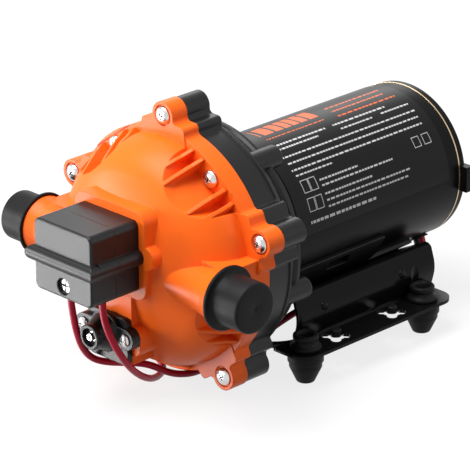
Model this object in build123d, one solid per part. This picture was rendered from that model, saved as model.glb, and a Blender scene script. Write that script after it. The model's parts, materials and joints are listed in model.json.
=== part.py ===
from build123d import *
import os
from math import asin, atan2, cos, degrees, hypot, pi, radians, sin, sqrt, tan

os.makedirs("parts", exist_ok=True)

# Twelve volt water pump for a caravan: five-chamber diaphragm head, pressure switch, motor, bracket.
# Millimetres. The origin lies on the ground, midway between the four foot bolts.
# +X is towards the outlet port, +Y towards the back of the motor, +Z up.
# Head and motor pieces are drawn in the pump's own frame and moved by pump_place at the end:
# its Y axis is the shaft, its Y is counted back from the faces of the five lobes.

# Place of the pump on its feet
foot_span_x = 92.0
foot_span_y = 75.0
axis_height = 61.0
head_lead = 40.5
head_y = -(foot_span_y / 2 + head_lead)
pump_place = Pos(0, head_y, axis_height)

# Fits and cuts
running_gap = 0.05
screw_gap = 0.05
soft_gap = 0.3
overrun = 6.0

# Five lobes round the head, and five chamber screws between them
lobe_count = 5
pitch_angle = 360 / lobe_count
top_angle = 90.0
lobe_angles = [top_angle + pitch_angle * index for index in range(lobe_count)]
pocket_angles = [top_angle + pitch_angle * (index + 1 / 2) for index in range(lobe_count)]
lobe_circle = 61.0
lobe_radius = 6.2
rim_radius = 55.3
shoulder_reach = 58.2
shoulder_width = 26.0
corner_round = 2.2
edge_round = 1.0

# Upper housing: flange, dome, ports and seats
flange_thick = 8.8
dome_radius = 52.0
dome_depth = 31.5
dome_crown = 80.0
dome_wall = 3.0
cavity_radius = 38.4
outlet_wall_outer = 19.5
outlet_wall_inner = 16.8
port_lead = 18.2
port_bore = 6.4
port_tube_outer = 8.6
port_boss_root = 24.0
port_boss_root_radius = 8.0
port_boss_middle = 44.0
port_boss_middle_radius = 9.9
port_boss_neck = 52.0
port_boss_neck_radius = 11.4
port_boss_end = 56.8
port_boss_end_radius = 13.0
port_web_root = 30.0
port_web_down = 9.0
port_web_up_root = 13.0
port_web_up_end = 11.0
spigot_radius = 10.45
spigot_reach = 71.8
spigot_mouth_radius = 7.0
spigot_mouth_depth = 14.0
thread_pitch = 1.814
thread_depth = 1.1
thread_turns = 6

# Ribbed pocket in front of each chamber screw
pocket_floor = 0.4
pocket_rim = 53.8
ramp_lead = 19.5
ramp_top = 41.2
ramp_foot = 45.2
scoop_radius = 28.0
scoop_circle = 70.0
rib_offsets = [8.4, 14.9]
rib_thick = 1.7
rib_end_rise = 1.4
rib_rim_drop = 0.6
rib_skirt_lead = 10.0
rib_skirt_radius = 49.0

# Caps on the ports
cap_wall = 0.75
cap_end_wall = 1.5
cap_end_gap = 0.6
cap_skirt_radius = 14.3
cap_skirt_thick = 1.8
cap_seat_gap = 0.1
cap_dimple_radius = 0.9
cap_dimple_depth = 0.5
cap_edge_round = 1.0

# Screws with round cross-recess heads
head_radius = 4.0
head_height = 2.6
head_rim = 1.0
cross_width = 0.9
cross_reach = 2.3
cross_depth = 1.5
screw_radius = 2.0
lobe_counterbore = 1.0
lobe_counterbore_radius = 4.7
lobe_screw_length = 19.0
chamber_circle = 49.6
chamber_screw_length = 26.0

# Valve plate, valves, seals
plate_rim_radius = 44.4
plate_rim_thick = 4.4
plate_core_lead = 1.6
plate_web = 2.8
chamber_pitch = 25.5
chamber_radius = 12.4
outlet_hole_circle = 14.8
outlet_hole_radius = 1.3
outlet_hole_spread = 8.0
inlet_valve_circle = 30.5
inlet_hole_spread = 3.3
inlet_hole_radius = 1.2
inlet_stem_radius = 1.3
inlet_flap_radius = 5.6
inlet_flap_thick = 1.0
inlet_bulb_radius = 1.9
inlet_bulb_length = 1.6
outlet_disc_radius = 16.4
outlet_disc_thick = 1.1
outlet_stem_radius = 2.5
outlet_bulb_radius = 3.4
outlet_slit = 1.0
outlet_slit_inner = 6.0
seal_inner = 40.2
seal_outer = 42.2
seal_thick = 1.2

# Diaphragm, pistons, wobble plate, bearing, cam
diaphragm_radius = 46.0
diaphragm_thick = 2.0
diaphragm_opening = 9.7
convolution_radius = 11.0
convolution_wire = 1.1
piston_radius = 8.4
piston_thick = 3.4
piston_edge = 0.8
countersink_radius = 3.6
countersink_depth = 2.0
piston_screw_grip = 7.0
wobble_tilt = 3.0
wobble_back = 12.7
wobble_radius = 31.8
wobble_plate_thick = 4.0
wobble_plate_lead = 6.0
wobble_foot_radius = 6.0
wobble_hub_radius = 18.0
wobble_hub_tail = 4.5
bearing_outer = 14.0
bearing_bore = 7.5
bearing_width = 7.0
bearing_land = 1.5
ball_radius = 1.9
ball_count = 10
cam_shoulder_radius = 9.0
cam_shoulder = 2.5

# Lower housing
bell_rim_radius = 54.6
bell_lobe_radius = 5.8
bell_flange_thick = 13.6
bell_bead = 0.6
bell_bead_width = 0.9
bell_cone_start = 53.2
bell_lip_radius = 50.8
bell_lip_back = 8.1
bell_lip_width = 1.6
bell_dish_radius = 42.0
bell_cavity_radius = 43.5
bell_floor_back = 22.2
bell_floor_thick = 4.0
collar_wall = 3.0
collar_length = 9.0
chamber_boss_radius = 5.0
chamber_boss_back = 30.0
boss_edge_round = 1.2
bell_hub_radius = 13.0

# Motor
motor_radius = 36.1
can_wall = 1.9
motor_length = 120.0
rear_cap_thick = 4.1
rear_ring_thick = 0.6
rear_ring_proud = 0.15
front_plate_thick = 3.5
front_boss_lead = 4.0
front_boss_tail = 6.0
motor_bearing_outer = 11.0
motor_bearing_width = 7.0
motor_bearing_split = 7.5
shaft_radius = 4.0
shaft_lead = 14.0
magnet_thick = 6.4
magnet_half_angle = 60.0
magnet_start = 17.0
magnet_length = 66.0
air_gap = 1.0
core_start = 23.0
core_length = 54.0
slot_count = 12
slot_radius = 2.5
slot_depth = 4.2
slot_mouth = 1.2
winding_outer = 22.5
winding_inner = 9.0
winding_end = 10.0
commutator_radius = 9.5
commutator_length = 15.0
commutator_groove = 0.6
commutator_groove_depth = 0.8
brush_width = 5.0
brush_length = 8.0
brush_height = 12.0
brush_holder_wall = 1.2
brush_holder_reach = 28.0
brush_plate_thick = 2.5
brush_plate_bore = 12.5
brush_spring_radius = 1.7
brush_spring_wire = 0.35
rear_bearing_boss = 13.0
rear_cap_spigot = 2.8
bolt_radius = 2.0
bolt_circle = 31.0
bolt_head_radius = 4.0
bolt_head_height = 2.4
ear_width = 12.0
ear_reach = 4.0
ear_round = 1.5
label_thick = 0.2
label_gap = 0.05
label_start = 11.4
label_end = 108.5
label_low_angle = 2.0
grommet_angle = -60.0
grommet_back = 108.5
grommet_radius = 4.2
grommet_neck = 3.6
grommet_lip = 0.8
lead_spacing = 3.6

# Pressure switch
switch_width = 35.6
switch_low = -5.6
switch_high = 26.8
switch_depth = 27.0
switch_cover_depth = 14.0
switch_corner = 3.0
switch_wall = 1.5
ridge_z = 10.5
ridge_radius = 3.8
ridge_proud = 3.0
seat_margin = 4.0
seat_corner = 6.5
seat_bump_radius = 5.6
seat_lead_in = 14.0
switch_hole_radius = 3.75
switch_hole_z = -0.2
switch_back_wall = 4.0
sense_z = 11.0
sense_bore = 2.0
sense_radius = 7.6
sense_thick = 1.2
plunger_radius = 3.5
plunger_length = 7.0
plunger_nose = 6.0
lever_thick = 1.4
lever_width = 12.0
lever_pivot_z = 21.6
lever_low_z = -2.2
lever_pin_radius = 1.1
switch_spring_radius = 2.2
switch_spring_wire = 0.4
switch_spring_turns = 4
adjust_radius = 2.9
adjust_length = 3.0
adjust_guide_wall = 1.4
spring_cup_thick = 1.0
micro_width = 19.0
micro_height = 9.6
micro_depth = 6.0
micro_low = 13.4
micro_button_radius = 1.2
micro_button_z = 16.2
micro_gap = 0.4
terminal_width = 4.0
terminal_thick = 0.8
terminal_drop = 7.0
fixing_x = 12.6
fixing_z = 21.6

# Bypass valve
bypass_z = -28.0
bypass_seat_half = 12.4
bypass_seat_top = 8.2
bypass_seat_low = 13.4
bypass_lug_half = 17.6
bypass_lug_up = 4.8
bypass_lug_down = 9.0
bypass_seat_lead = 31.2
bypass_seat_root = 12.0
bypass_plate_thick = 2.6
bypass_plate_corner = 3.0
bypass_ear_x = 12.9
bypass_ear_radius = 4.8
bypass_flange_thick = 2.0
bypass_flange_radius = 9.2
bypass_cone_radius = 8.6
bypass_cone_length = 6.4
bypass_nose_radius = 5.8
bypass_nose_length = 2.6
bypass_nose_hole = 4.1
bypass_nose_round = 0.5
bypass_thread_radius = 2.5
bypass_thread_length = 2.2
bypass_port_radius = 2.2
poppet_radius = 4.3
poppet_thick = 1.9
poppet_gap = 0.2
poppet_stem_radius = 1.7
poppet_stem = 2.6
poppet_room = 1.5
spring_seat_radius = 3.6
spring_seat_thick = 1.4
spring_seat_room = 0.8
bypass_spring_radius = 2.8
bypass_spring_wire = 0.35
bypass_spring_turns = 4
adjuster_radius = 1.6
adjuster_recess = 0.4
adjuster_socket = 0.9
adjuster_socket_depth = 1.2
small_head_radius = 2.9
small_head_height = 1.9
small_screw_radius = 1.5
small_screw_length = 9.5

# Bracket of folded sheet, saddle, feet and pegs
sheet = 1.5
saddle_thick = 2.1
plate_top = 15.5
plate_margin_x = 9.2
plate_margin_front = 9.8
plate_margin_rear = 13.2
plate_half_x = foot_span_x / 2 + plate_margin_x
plate_length = foot_span_y + plate_margin_front + plate_margin_rear
plate_shift = (plate_margin_rear - plate_margin_front) / 2
plate_corner = 8.0
wall_foot_x = 38.4
wall_mid_x = 41.4
wall_mid_z = -35.0
wall_top_x = 38.0
wall_top_z = -24.2
fold_round = 2.4
wall_bulge = 14.0
wall_front = 40.7
wall_rear = 130.0
dimple_radius = 2.2
dimple_proud = 1.2
dimple_z = -32.5
dimple_span = 50.0
dimple_shift = 4.2
peg_span_y = 36.0
peg_shift = -0.9
peg_x = 46.4
peg_radius = 2.45
peg_height = 3.3
peg_round = 0.5
peg_slot_length = 13.4
peg_slot_width = 4.6
peg_hole_radius = 4.3
peg_tongue_width = 3.0
peg_tongue_reach = 1.1
foot_neck_radius = 5.0
foot_radius = 7.3
foot_ring_radius = 8.0
foot_ring_low = 9.6
foot_tip_radius = 4.0
foot_tip_round = 1.0
foot_shoulder_z = 7.2
foot_flange_thick = 1.9
foot_flange_radius = 7.0
foot_collar_radius = 5.7
foot_collar_low = 20.0
foot_collar_top = 22.4
foot_throat_radius = 5.2
foot_bore = 3.0
foot_relief_gap = 0.3
saddle_start = 45.0
saddle_wing_end = 102.0
saddle_end = 132.0
saddle_wing_angle = 22.0
saddle_low_angle = 50.0
saddle_window_start = 68.0
saddle_window_length = 13.0
saddle_window_low = 34.0
saddle_window_high = 26.0
bracket_screw_places = [56.0, 114.0]
bracket_screw_bite = 1.4

# Leads: insulated wire, laid along points chosen by hand in the ground frame
lead_radius = 1.55
lead_hole_x = 10.0
bend_share = 0.45
motor_lead_route = [
    (-10.0, -123.7, 57.4), (-9.9, -123.8, 48.4), (-8.2, -123.9, 40.2), (-8.2, -122.2, 32.6),
    (-8.8, -118.9, 24.4), (-8.6, -113.8, 17.6), (-5.2, -107.6, 14.8), (1.0, -101.0, 14.6),
    (6.8, -93.8, 13.4), (10.4, -85.0, 7.0), (12.0, -74.0, 3.8), (11.0, -62.0, 3.4),
    (10.5, -48.0, 4.6), (13.0, -33.0, 8.8), (17.5, -17.0, 16.2), (19.0, 4.0, 19.6),
    (17.6, 22.0, 19.0), (22.4, 40.0, 14.8), (25.0, 56.2, 15.6), (23.36, 65.5, 24.14),
    (18.11, 65.5, 33.24),
]
supply_red_route = [
    (10.0, -123.7, 57.4), (10.1, -123.8, 49.2), (13.0, -124.2, 41.8), (15.6, -121.6, 33.0),
    (15.2, -115.4, 23.4), (12.2, -106.0, 14.2), (9.0, -96.0, 7.6), (3.0, -84.6, 3.4),
    (-4.5, -74.6, 1.8), (-16.0, -68.0, 1.6), (-29.0, -66.4, 1.55), (-42.6, -62.0, 1.55),
    (-54.6, -53.0, 1.55), (-62.4, -39.4, 1.55), (-64.4, -24.0, 1.55), (-62.6, -8.0, 1.55),
    (-65.0, 8.0, 1.55), (-63.0, 24.0, 1.55), (-64.6, 37.0, 1.55),
]
supply_black_route = [
    (14.99, 65.5, 31.44), (20.19, 65.5, 22.43), (21.5, 58.2, 14.4), (18.4, 45.0, 10.4),
    (14.0, 29.0, 11.8), (16.4, 14.0, 8.6), (20.4, 1.0, 3.8), (20.0, -14.0, 2.0), (11.0, -26.6, 1.6),
    (-6.0, -31.0, 1.55), (-21.0, -40.5, 1.55), (-35.0, -51.2, 1.55), (-48.6, -48.2, 1.55),
    (-56.0, -36.0, 1.55), (-57.8, -18.0, 1.55), (-56.6, 0.0, 1.55), (-58.6, 17.0, 1.55),
]

# Stations along the shaft that several pieces share
joint_y = flange_thick
diaphragm_rear = joint_y + diaphragm_thick
wobble_y = joint_y + wobble_back
bell_flange_end = joint_y + bell_flange_thick
bell_lip_y = bell_flange_end + bell_lip_back
bell_floor_y = joint_y + bell_floor_back
motor_front = bell_floor_y + bell_floor_thick
motor_rear = motor_front + motor_length
can_end = motor_rear - rear_cap_thick - rear_ring_thick
can_inner = motor_radius - can_wall
switch_front = -dome_depth - switch_depth
switch_seam = switch_front + switch_cover_depth
bypass_body_y = -bypass_seat_lead - bypass_plate_thick
core_radius = can_inner - magnet_thick - air_gap
commutator_y = motor_front + core_start + core_length + winding_end + winding_end / 5
brush_y = commutator_y + commutator_length / 2
plate_mid = plate_top - sheet / 2
saddle_outer = motor_radius + saddle_thick


def around(angle):
    """Frame turned about the shaft, so that what is drawn at the top lies at this angle."""
    return Rot(0, top_angle - angle, 0)


def rod(radius, start, end, x=0, z=0):
    """Round bar along the shaft between two stations."""
    bar = Cylinder(radius, end - start, align=(Align.CENTER, Align.CENTER, Align.MIN))
    return Pos(x, start, z) * Rot(-90, 0, 0) * bar


def tube(outer, inner, start, end, x=0, z=0):
    """Round bar with a bore."""
    return rod(outer, start, end, x, z) - rod(inner, start - overrun, end + overrun, x, z)


def turned(*points):
    """Solid turned about the shaft from points given as radius and station."""
    return revolve(make_face(Polyline(*points, close=True)), Axis.Y)


def slab(outline, start, end):
    """Outline seen from the front, made solid between two stations."""
    plane = Plane(origin=(0, end, 0), x_dir=(1, 0, 0), z_dir=(0, -1, 0))
    return extrude(plane * outline, amount=end - start)


def crossbar(radius, start, end, y=0, z=0):
    """Round bar across the pump, along X."""
    bar = Cylinder(radius, end - start, align=(Align.CENTER, Align.CENTER, Align.MIN))
    return Pos(start, y, z) * Rot(0, 90, 0) * bar


def box(low, high):
    """Box between two corners."""
    size = [top - bottom for bottom, top in zip(low, high)]
    return Pos(*low) * Box(*size, align=(Align.MIN, Align.MIN, Align.MIN))


def coil(radius, wire, length, turns):
    """Spring that stands on the XY plane, its wire a true helix between two flat heights."""
    rise = length - 2 * wire
    path = Helix(pitch=rise / turns, height=rise, radius=radius)
    section = Plane(origin=path @ 0, z_dir=path % 0) * Circle(wire)
    return Pos(0, 0, wire) * sweep(section, path=path, is_frenet=True)


def cross_head_screw(radius, length, head_r, head_h):
    """Screw along +Y whose head's flat underside lies at Y zero."""
    crown = (head_r ** 2 + (head_h - head_h / 3) ** 2) / (2 * (head_h - head_h / 3))
    blank = rod(head_r, -head_h, 0)
    ball = Pos(0, crown - head_h, 0) * Sphere(crown)
    slot = cross_width * head_r / head_radius
    reach = cross_reach * head_r / head_radius
    depth = cross_depth * head_h / head_height
    recess = box((-reach, -head_h - depth, -slot / 2), (reach, depth - head_h, slot / 2))
    recess += Rot(0, 90, 0) * recess
    return (blank & ball) - recess + rod(radius, 0, length)


def lobed_outline(core_radius, lobe_r):
    """Five-lobed rim seen from the front, with a flat shoulder on both sides of each lobe."""
    outline = Circle(core_radius)
    for angle in lobe_angles:
        lobe = Pos(lobe_circle / 2, 0) * Rectangle(lobe_circle, 2 * lobe_r)
        lobe += Pos(lobe_circle, 0) * Circle(lobe_r)
        lobe += Pos(shoulder_reach / 2, 0) * Rectangle(shoulder_reach, shoulder_width)
        outline += Rot(0, 0, angle) * lobe
    rounded = offset(outline, amount=corner_round)
    rounded = offset(rounded, amount=-2 * corner_round)
    return offset(rounded, amount=corner_round)


def dome(base, depth, crown):
    """Solid dome on the lobe face: a flat crown arc that runs into a tighter edge arc."""
    rise = crown - depth
    edge = (crown ** 2 - base ** 2 - rise ** 2) / (2 * (crown - base))
    turn = degrees(atan2(rise, base - edge))
    outline = CenterArc((base - edge, 0), edge, 0, -turn)
    outline += CenterArc((0, rise), crown, -turn, turn - 90)
    outline += Line((0, -depth), (0, 0))
    outline += Line((0, 0), (base, 0))
    return revolve(make_face(outline), Axis.Y)


def side_prism(points, half_width):
    """Solid of a side outline, given as station and height, to both sides of the middle."""
    return extrude(Plane.YZ * make_face(Polyline(*points, close=True)), amount=half_width, both=True)


def pocket():
    """Room cut in the dome in front of the chamber screw at the top."""
    front = -dome_depth - overrun
    points = [(-ramp_lead, ramp_top), (pocket_floor, ramp_foot), (pocket_floor, pocket_rim)]
    points += [(front, pocket_rim), (front, ramp_top)]
    wedge = side_prism(points, scoop_radius)
    return wedge & rod(scoop_radius, front, pocket_floor + overrun, z=scoop_circle)


def pocket_ribs():
    """Thin ribs that bridge the pocket, their tops flush with the dome."""
    points = [(-ramp_lead, ramp_top - rib_thick), (flange_thick / 2, ramp_foot - rib_thick)]
    points += [(flange_thick / 2, pocket_rim), (-rib_rim_drop, pocket_rim)]
    points += [(-ramp_lead, ramp_top + rib_end_rise)]
    plate = side_prism(points, rib_thick / 2)
    skirt = turned((0, -rib_skirt_lead), (rib_skirt_radius, -rib_skirt_lead),
                   (pocket_rim, -rib_rim_drop), (pocket_rim, flange_thick / 2), (0, flange_thick / 2))
    ribs = [Pos(side * offset_x, 0, 0) * plate for offset_x in rib_offsets for side in (-1, 1)]
    return (ribs[0] + ribs[1:]) & (dome(dome_radius, dome_depth, dome_crown) + skirt)


def threaded_spigot():
    """Outside of the outlet spigot, with thread ridges near its mouth."""
    ridge_start = spigot_reach - thread_turns * thread_pitch
    root = spigot_radius - thread_depth
    points = [(port_boss_middle, 0), (port_boss_middle, root), (ridge_start, root)]
    for index in range(thread_turns):
        start = ridge_start + index * thread_pitch
        points += [(start + thread_pitch / 4, spigot_radius), (start + thread_pitch / 2, spigot_radius)]
        points += [(start + 3 * thread_pitch / 4, root), (start + thread_pitch, root)]
    points += [(spigot_reach, 0)]
    blank = revolve(make_face(Polyline(*points, close=True)), Axis.X)
    return Pos(0, -port_lead, 0) * blank


def port_boss():
    """Flared boss that fairs the outlet spigot into the dome."""
    points = [(port_boss_root, 0), (port_boss_root, port_boss_root_radius)]
    points += [(port_boss_middle, port_boss_middle_radius), (port_boss_neck, port_boss_neck_radius)]
    points += [(port_boss_end, port_boss_end_radius), (port_boss_end, 0)]
    boss = revolve(make_face(Polyline(*points, close=True)), Axis.X)
    return Pos(0, -port_lead, 0) * boss


def port_web(side):
    """Web between one port boss and the flange behind it."""
    points = [(side * port_web_root, -port_web_down), (side * port_boss_end, -port_web_down)]
    points += [(side * port_boss_end, port_web_up_end), (side * port_web_root, port_web_up_root)]
    return slab(make_face(Polyline(*points, close=True)), -port_lead, flange_thick / 2)


def switch_outline(margin):
    """Front view of the switch box, grown by a margin."""
    height = switch_high - switch_low
    middle = (switch_high + switch_low) / 2
    corner = switch_corner + margin * seat_corner / (seat_corner + switch_corner)
    return Pos(0, middle) * RectangleRounded(switch_width + 2 * margin, height + 2 * margin, corner)


def switch_seat():
    """Raised seat under the switch, with a bump beside each end of the switch's ridge."""
    outline = switch_outline(seat_margin)
    for side in (-1, 1):
        outline += Pos(side * (switch_width / 2 + seat_margin - edge_round), ridge_z) * Circle(seat_bump_radius)
    return slab(outline, -dome_depth, -seat_lead_in)


def bypass_outline():
    """Front view of the bypass valve's cover plate: a rounded square with two ears."""
    height = bypass_seat_top + bypass_seat_low
    middle = (bypass_seat_top - bypass_seat_low) / 2
    outline = Pos(0, middle) * RectangleRounded(2 * bypass_seat_half, height, bypass_plate_corner)
    for side in (-1, 1):
        outline += Pos(side * bypass_ear_x, 0) * Circle(bypass_ear_radius)
    return outline


def bypass_seat():
    """Block on the dome that the bypass valve is screwed to."""
    block_height = bypass_seat_top + bypass_seat_low
    block = Pos(0, (bypass_seat_top - bypass_seat_low) / 2)
    block = block * Rectangle(2 * bypass_seat_half, block_height)
    lug_height = bypass_lug_up + bypass_lug_down
    lugs = Pos(0, (bypass_lug_up - bypass_lug_down) / 2)
    lugs = lugs * RectangleRounded(2 * bypass_lug_half, lug_height, bypass_ear_radius)
    link_height = switch_low - seat_margin - bypass_z
    link = Pos(0, link_height / 2) * Rectangle(2 * bypass_seat_half, link_height)
    outline = Pos(0, bypass_z) * (block + lugs + link)
    return slab(outline, -bypass_seat_lead, -bypass_seat_root)


def chamber_screw_hole():
    """Clearance hole for the chamber screw at the top."""
    return rod(screw_radius + screw_gap, -overrun, flange_thick + overrun, z=chamber_circle)


def lobe_screw_hole():
    """Counterbored hole for the housing screw in the top lobe."""
    hole = rod(screw_radius + screw_gap, -overrun, flange_thick + overrun, z=lobe_circle)
    return hole + rod(lobe_counterbore_radius, -overrun, lobe_counterbore, z=lobe_circle)


def upper_cavity():
    """Water space under the dome, the recess for the valve plate and the seal groove."""
    core_y = -plate_core_lead
    cavity = dome(dome_radius - dome_wall, dome_depth - dome_wall, dome_crown - dome_wall)
    cavity = cavity & rod(cavity_radius, -dome_depth - overrun, overrun)
    cavity += rod(cavity_radius, core_y - overrun, joint_y + overrun)
    rim_y = joint_y - plate_rim_thick
    cavity += rod(plate_rim_radius + running_gap, rim_y, joint_y + overrun)
    return cavity + tube(seal_outer, seal_inner, rim_y - seal_thick, rim_y + edge_round)


def outlet_walls():
    """Wall of the outlet chamber in the middle of the dome, and its tube to the outlet port."""
    inner = dome(dome_radius - dome_wall / 2, dome_depth - dome_wall / 2, dome_crown - dome_wall / 2)
    ring = rod(outlet_wall_outer, -dome_depth, -plate_core_lead) & inner
    pipe = crossbar(port_tube_outer, 0, port_boss_middle, y=-port_lead)
    return ring + (pipe & inner)


def upper_housing():
    """Orange upper housing: dome, lobed flange, port spigots and seats in one moulding."""
    body = dome(dome_radius, dome_depth, dome_crown)
    body += slab(lobed_outline(rim_radius, lobe_radius), 0, flange_thick)
    for angle in pocket_angles:
        body -= around(angle) * pocket()
    for angle in pocket_angles:
        body += around(angle) * pocket_ribs()
    for turn in (0, 180):
        body += Rot(0, turn, 0) * (port_boss() + threaded_spigot())
    for side in (-1, 1):
        body += port_web(side)
    body += switch_seat() + bypass_seat()
    body -= upper_cavity()
    body += outlet_walls()
    chamber = dome(dome_radius - dome_wall, dome_depth - dome_wall, dome_crown - dome_wall)
    chamber = chamber & rod(outlet_wall_inner, -dome_depth, overrun)
    body -= chamber
    body -= rod(outlet_wall_inner, -plate_core_lead - overrun, joint_y)
    body -= rod(outlet_wall_outer + running_gap, -plate_core_lead, joint_y)
    body -= crossbar(port_bore, 0, spigot_reach + overrun, y=-port_lead)
    body -= crossbar(port_bore, -spigot_reach - overrun, -outlet_wall_outer - edge_round, y=-port_lead)
    for turn in (0, 180):
        mouth = crossbar(spigot_mouth_radius, spigot_reach - spigot_mouth_depth, spigot_reach + overrun,
                         y=-port_lead)
        body -= Rot(0, turn, 0) * mouth
    for angle in pocket_angles:
        body -= around(angle) * chamber_screw_hole()
    for angle in lobe_angles:
        body -= around(angle) * lobe_screw_hole()
    body -= rod(sense_bore, -dome_depth - overrun, -dome_depth + dome_wall + overrun, z=sense_z)
    body -= rod(bypass_port_radius, -bypass_seat_lead - overrun, -bypass_seat_root, z=bypass_z)
    for side in (-1, 1):
        start = -bypass_seat_lead
        end = start - bypass_plate_thick - bypass_flange_thick + small_screw_length
        body -= rod(small_screw_radius, start - overrun, end, x=side * bypass_ear_x, z=bypass_z)
        end = switch_fixing_end()
        body -= rod(small_screw_radius, -dome_depth - overrun, end, x=side * fixing_x, z=fixing_z)
    return body


def switch_fixing_end():
    """Station of the tips of the screws that hold the switch."""
    return -dome_depth - switch_back_wall + small_screw_length


def port_cap():
    """Push-on cap over the outlet spigot, with a wide skirt."""
    inner = spigot_radius + running_gap
    outer = inner + cap_wall
    start = port_boss_end + cap_seat_gap
    mouth = spigot_reach + cap_end_gap
    end = mouth + cap_end_wall
    body = crossbar(outer, start, end, y=-port_lead)
    body = fillet(body.edges().filter_by(GeomType.CIRCLE).sort_by(Axis.X)[-1], cap_edge_round)
    body += crossbar(cap_skirt_radius, start, start + cap_skirt_thick, y=-port_lead)
    body -= crossbar(inner, start - overrun, mouth, y=-port_lead)
    dimple = crossbar(cap_dimple_radius, end - cap_dimple_depth, end + overrun, y=-port_lead)
    return body - dimple


def valve_plate():
    """Plate between the dome and the diaphragm, with a cup and its valve holes for each chamber."""
    rim_y = joint_y - plate_rim_thick
    web_rear = plate_web - plate_core_lead
    body = rod(plate_rim_radius, rim_y, joint_y)
    body += rod(cavity_radius - running_gap, -plate_core_lead, joint_y)
    body -= rod(outlet_stem_radius, -plate_core_lead - overrun, joint_y + overrun)
    body -= rod(outlet_bulb_radius + soft_gap, web_rear, joint_y + overrun)
    for angle in lobe_angles:
        cuts = rod(chamber_radius, web_rear, joint_y + overrun, z=chamber_pitch)
        cuts += rod(inlet_stem_radius, -overrun, joint_y, z=inlet_valve_circle)
        for side in (-1, 1):
            cuts += rod(inlet_hole_radius, -overrun, joint_y, x=side * inlet_hole_spread, z=inlet_valve_circle)
            cuts += rod(inlet_hole_radius, -overrun, joint_y, z=inlet_valve_circle + side * inlet_hole_spread)
            hole = rod(outlet_hole_radius, -overrun, joint_y, z=outlet_hole_circle)
            cuts += Rot(0, side * outlet_hole_spread, 0) * hole
        body -= around(angle) * cuts
    return body


def inlet_valve():
    """Rubber umbrella valve of the chamber at the top: flap behind the web, bulb in front."""
    web_rear = plate_web - plate_core_lead
    front = -plate_core_lead
    flap = rod(inlet_flap_radius, web_rear, web_rear + inlet_flap_thick, z=inlet_valve_circle)
    stem = rod(inlet_stem_radius, front, web_rear, z=inlet_valve_circle)
    bulb = rod(inlet_bulb_radius, front - inlet_bulb_length, front, z=inlet_valve_circle)
    return flap + stem + bulb


def outlet_valve():
    """Rubber disc with one flap for each chamber, held by a stem through the middle."""
    front = -plate_core_lead
    web_rear = plate_web - plate_core_lead
    body = rod(outlet_disc_radius, front - outlet_disc_thick, front)
    for angle in pocket_angles:
        reach = outlet_disc_radius + overrun
        slit = box((-outlet_slit / 2, front - overrun, outlet_slit_inner), (outlet_slit / 2, overrun, reach))
        body -= around(angle) * slit
    body += rod(outlet_stem_radius, front, web_rear)
    return body + rod(outlet_bulb_radius, web_rear, web_rear + inlet_bulb_length)


def head_seal():
    """Square-section seal ring in its groove in front of the valve plate's rim."""
    rim_y = joint_y - plate_rim_thick
    return tube(seal_outer, seal_inner, rim_y - seal_thick, rim_y)


def diaphragm():
    """Rubber sheet clamped at the rim, open where each piston's disc moves, with a bead round it."""
    body = rod(diaphragm_radius, joint_y, diaphragm_rear)
    for angle in lobe_angles:
        bead = Pos(0, diaphragm_rear, chamber_pitch) * Rot(90, 0, 0) * Torus(convolution_radius, convolution_wire)
        body += around(angle) * bead
    for angle in lobe_angles:
        body -= around(angle) * rod(diaphragm_opening, joint_y - overrun, diaphragm_rear + overrun,
                                    z=chamber_pitch)
    return body & rod(diaphragm_radius, joint_y, diaphragm_rear + convolution_wire)


def diaphragm_disc():
    """Middle of the diaphragm behind the top piston, clamped to the wobble plate, in its frame."""
    front = joint_y - wobble_y
    rear = diaphragm_rear - wobble_y
    return tube(piston_radius, screw_radius, front, rear, z=chamber_pitch)


def wobble_frame():
    """Frame of the tilted journal: its origin is the wobble centre, its Y axis the journal."""
    return Pos(0, wobble_y, 0) * Rot(wobble_tilt, 0, 0)


def inner_piston():
    """Piston of the chamber at the top, drawn in the wobble frame."""
    rear = joint_y - wobble_y
    blank = rod(piston_radius, rear - piston_thick, rear, z=chamber_pitch)
    blank = chamfer(blank.edges().sort_by(Axis.Y)[0], piston_edge)
    sink = Cone(screw_radius, countersink_radius, countersink_depth,
                align=(Align.CENTER, Align.CENTER, Align.MAX))
    sink = Pos(0, rear - piston_thick, chamber_pitch) * Rot(90, 0, 0) * sink
    return blank - sink - rod(screw_radius, rear - overrun, rear + overrun, z=chamber_pitch)


def piston_screw():
    """Countersunk screw that clamps the top piston and the diaphragm to the wobble plate."""
    rear = joint_y - wobble_y
    front = rear - piston_thick
    head = Cone(screw_radius, countersink_radius, countersink_depth,
                align=(Align.CENTER, Align.CENTER, Align.MAX))
    head = Pos(0, front, chamber_pitch) * Rot(90, 0, 0) * head
    slot = box((-cross_reach, front - cross_depth, -cross_width / 2),
               (cross_reach, front + cross_depth / 2, cross_width / 2))
    slot += Rot(0, 90, 0) * slot
    end = diaphragm_rear - wobble_y + piston_screw_grip
    shank = rod(screw_radius, front + countersink_depth / 2, end, z=chamber_pitch)
    return head + shank - Pos(0, 0, chamber_pitch) * slot


def wobble_plate():
    """Plate that rocks without turning and pushes the five pistons, drawn in the wobble frame."""
    foot_front = diaphragm_rear - wobble_y
    body = rod(wobble_radius, -wobble_plate_lead, wobble_plate_thick - wobble_plate_lead)
    body += rod(wobble_hub_radius, -wobble_plate_lead, wobble_hub_tail)
    for angle in lobe_angles:
        body += around(angle) * rod(wobble_foot_radius, foot_front, 0, z=chamber_pitch)
    body -= rod(bearing_outer, -bearing_width / 2, wobble_hub_tail + overrun)
    body -= rod(bearing_outer - bearing_land, -wobble_plate_lead - overrun, 0)
    for angle in lobe_angles:
        end = diaphragm_rear - wobble_y + piston_screw_grip
        body -= around(angle) * rod(screw_radius, foot_front - overrun, end, z=chamber_pitch)
    return body


def bearing_ring(outer, inner, width, groove_circle, groove):
    """One race of a ball bearing, with its ball groove."""
    ring = tube(outer, inner, -width / 2, width / 2)
    return ring - Rot(90, 0, 0) * Torus(groove_circle, groove)


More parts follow.
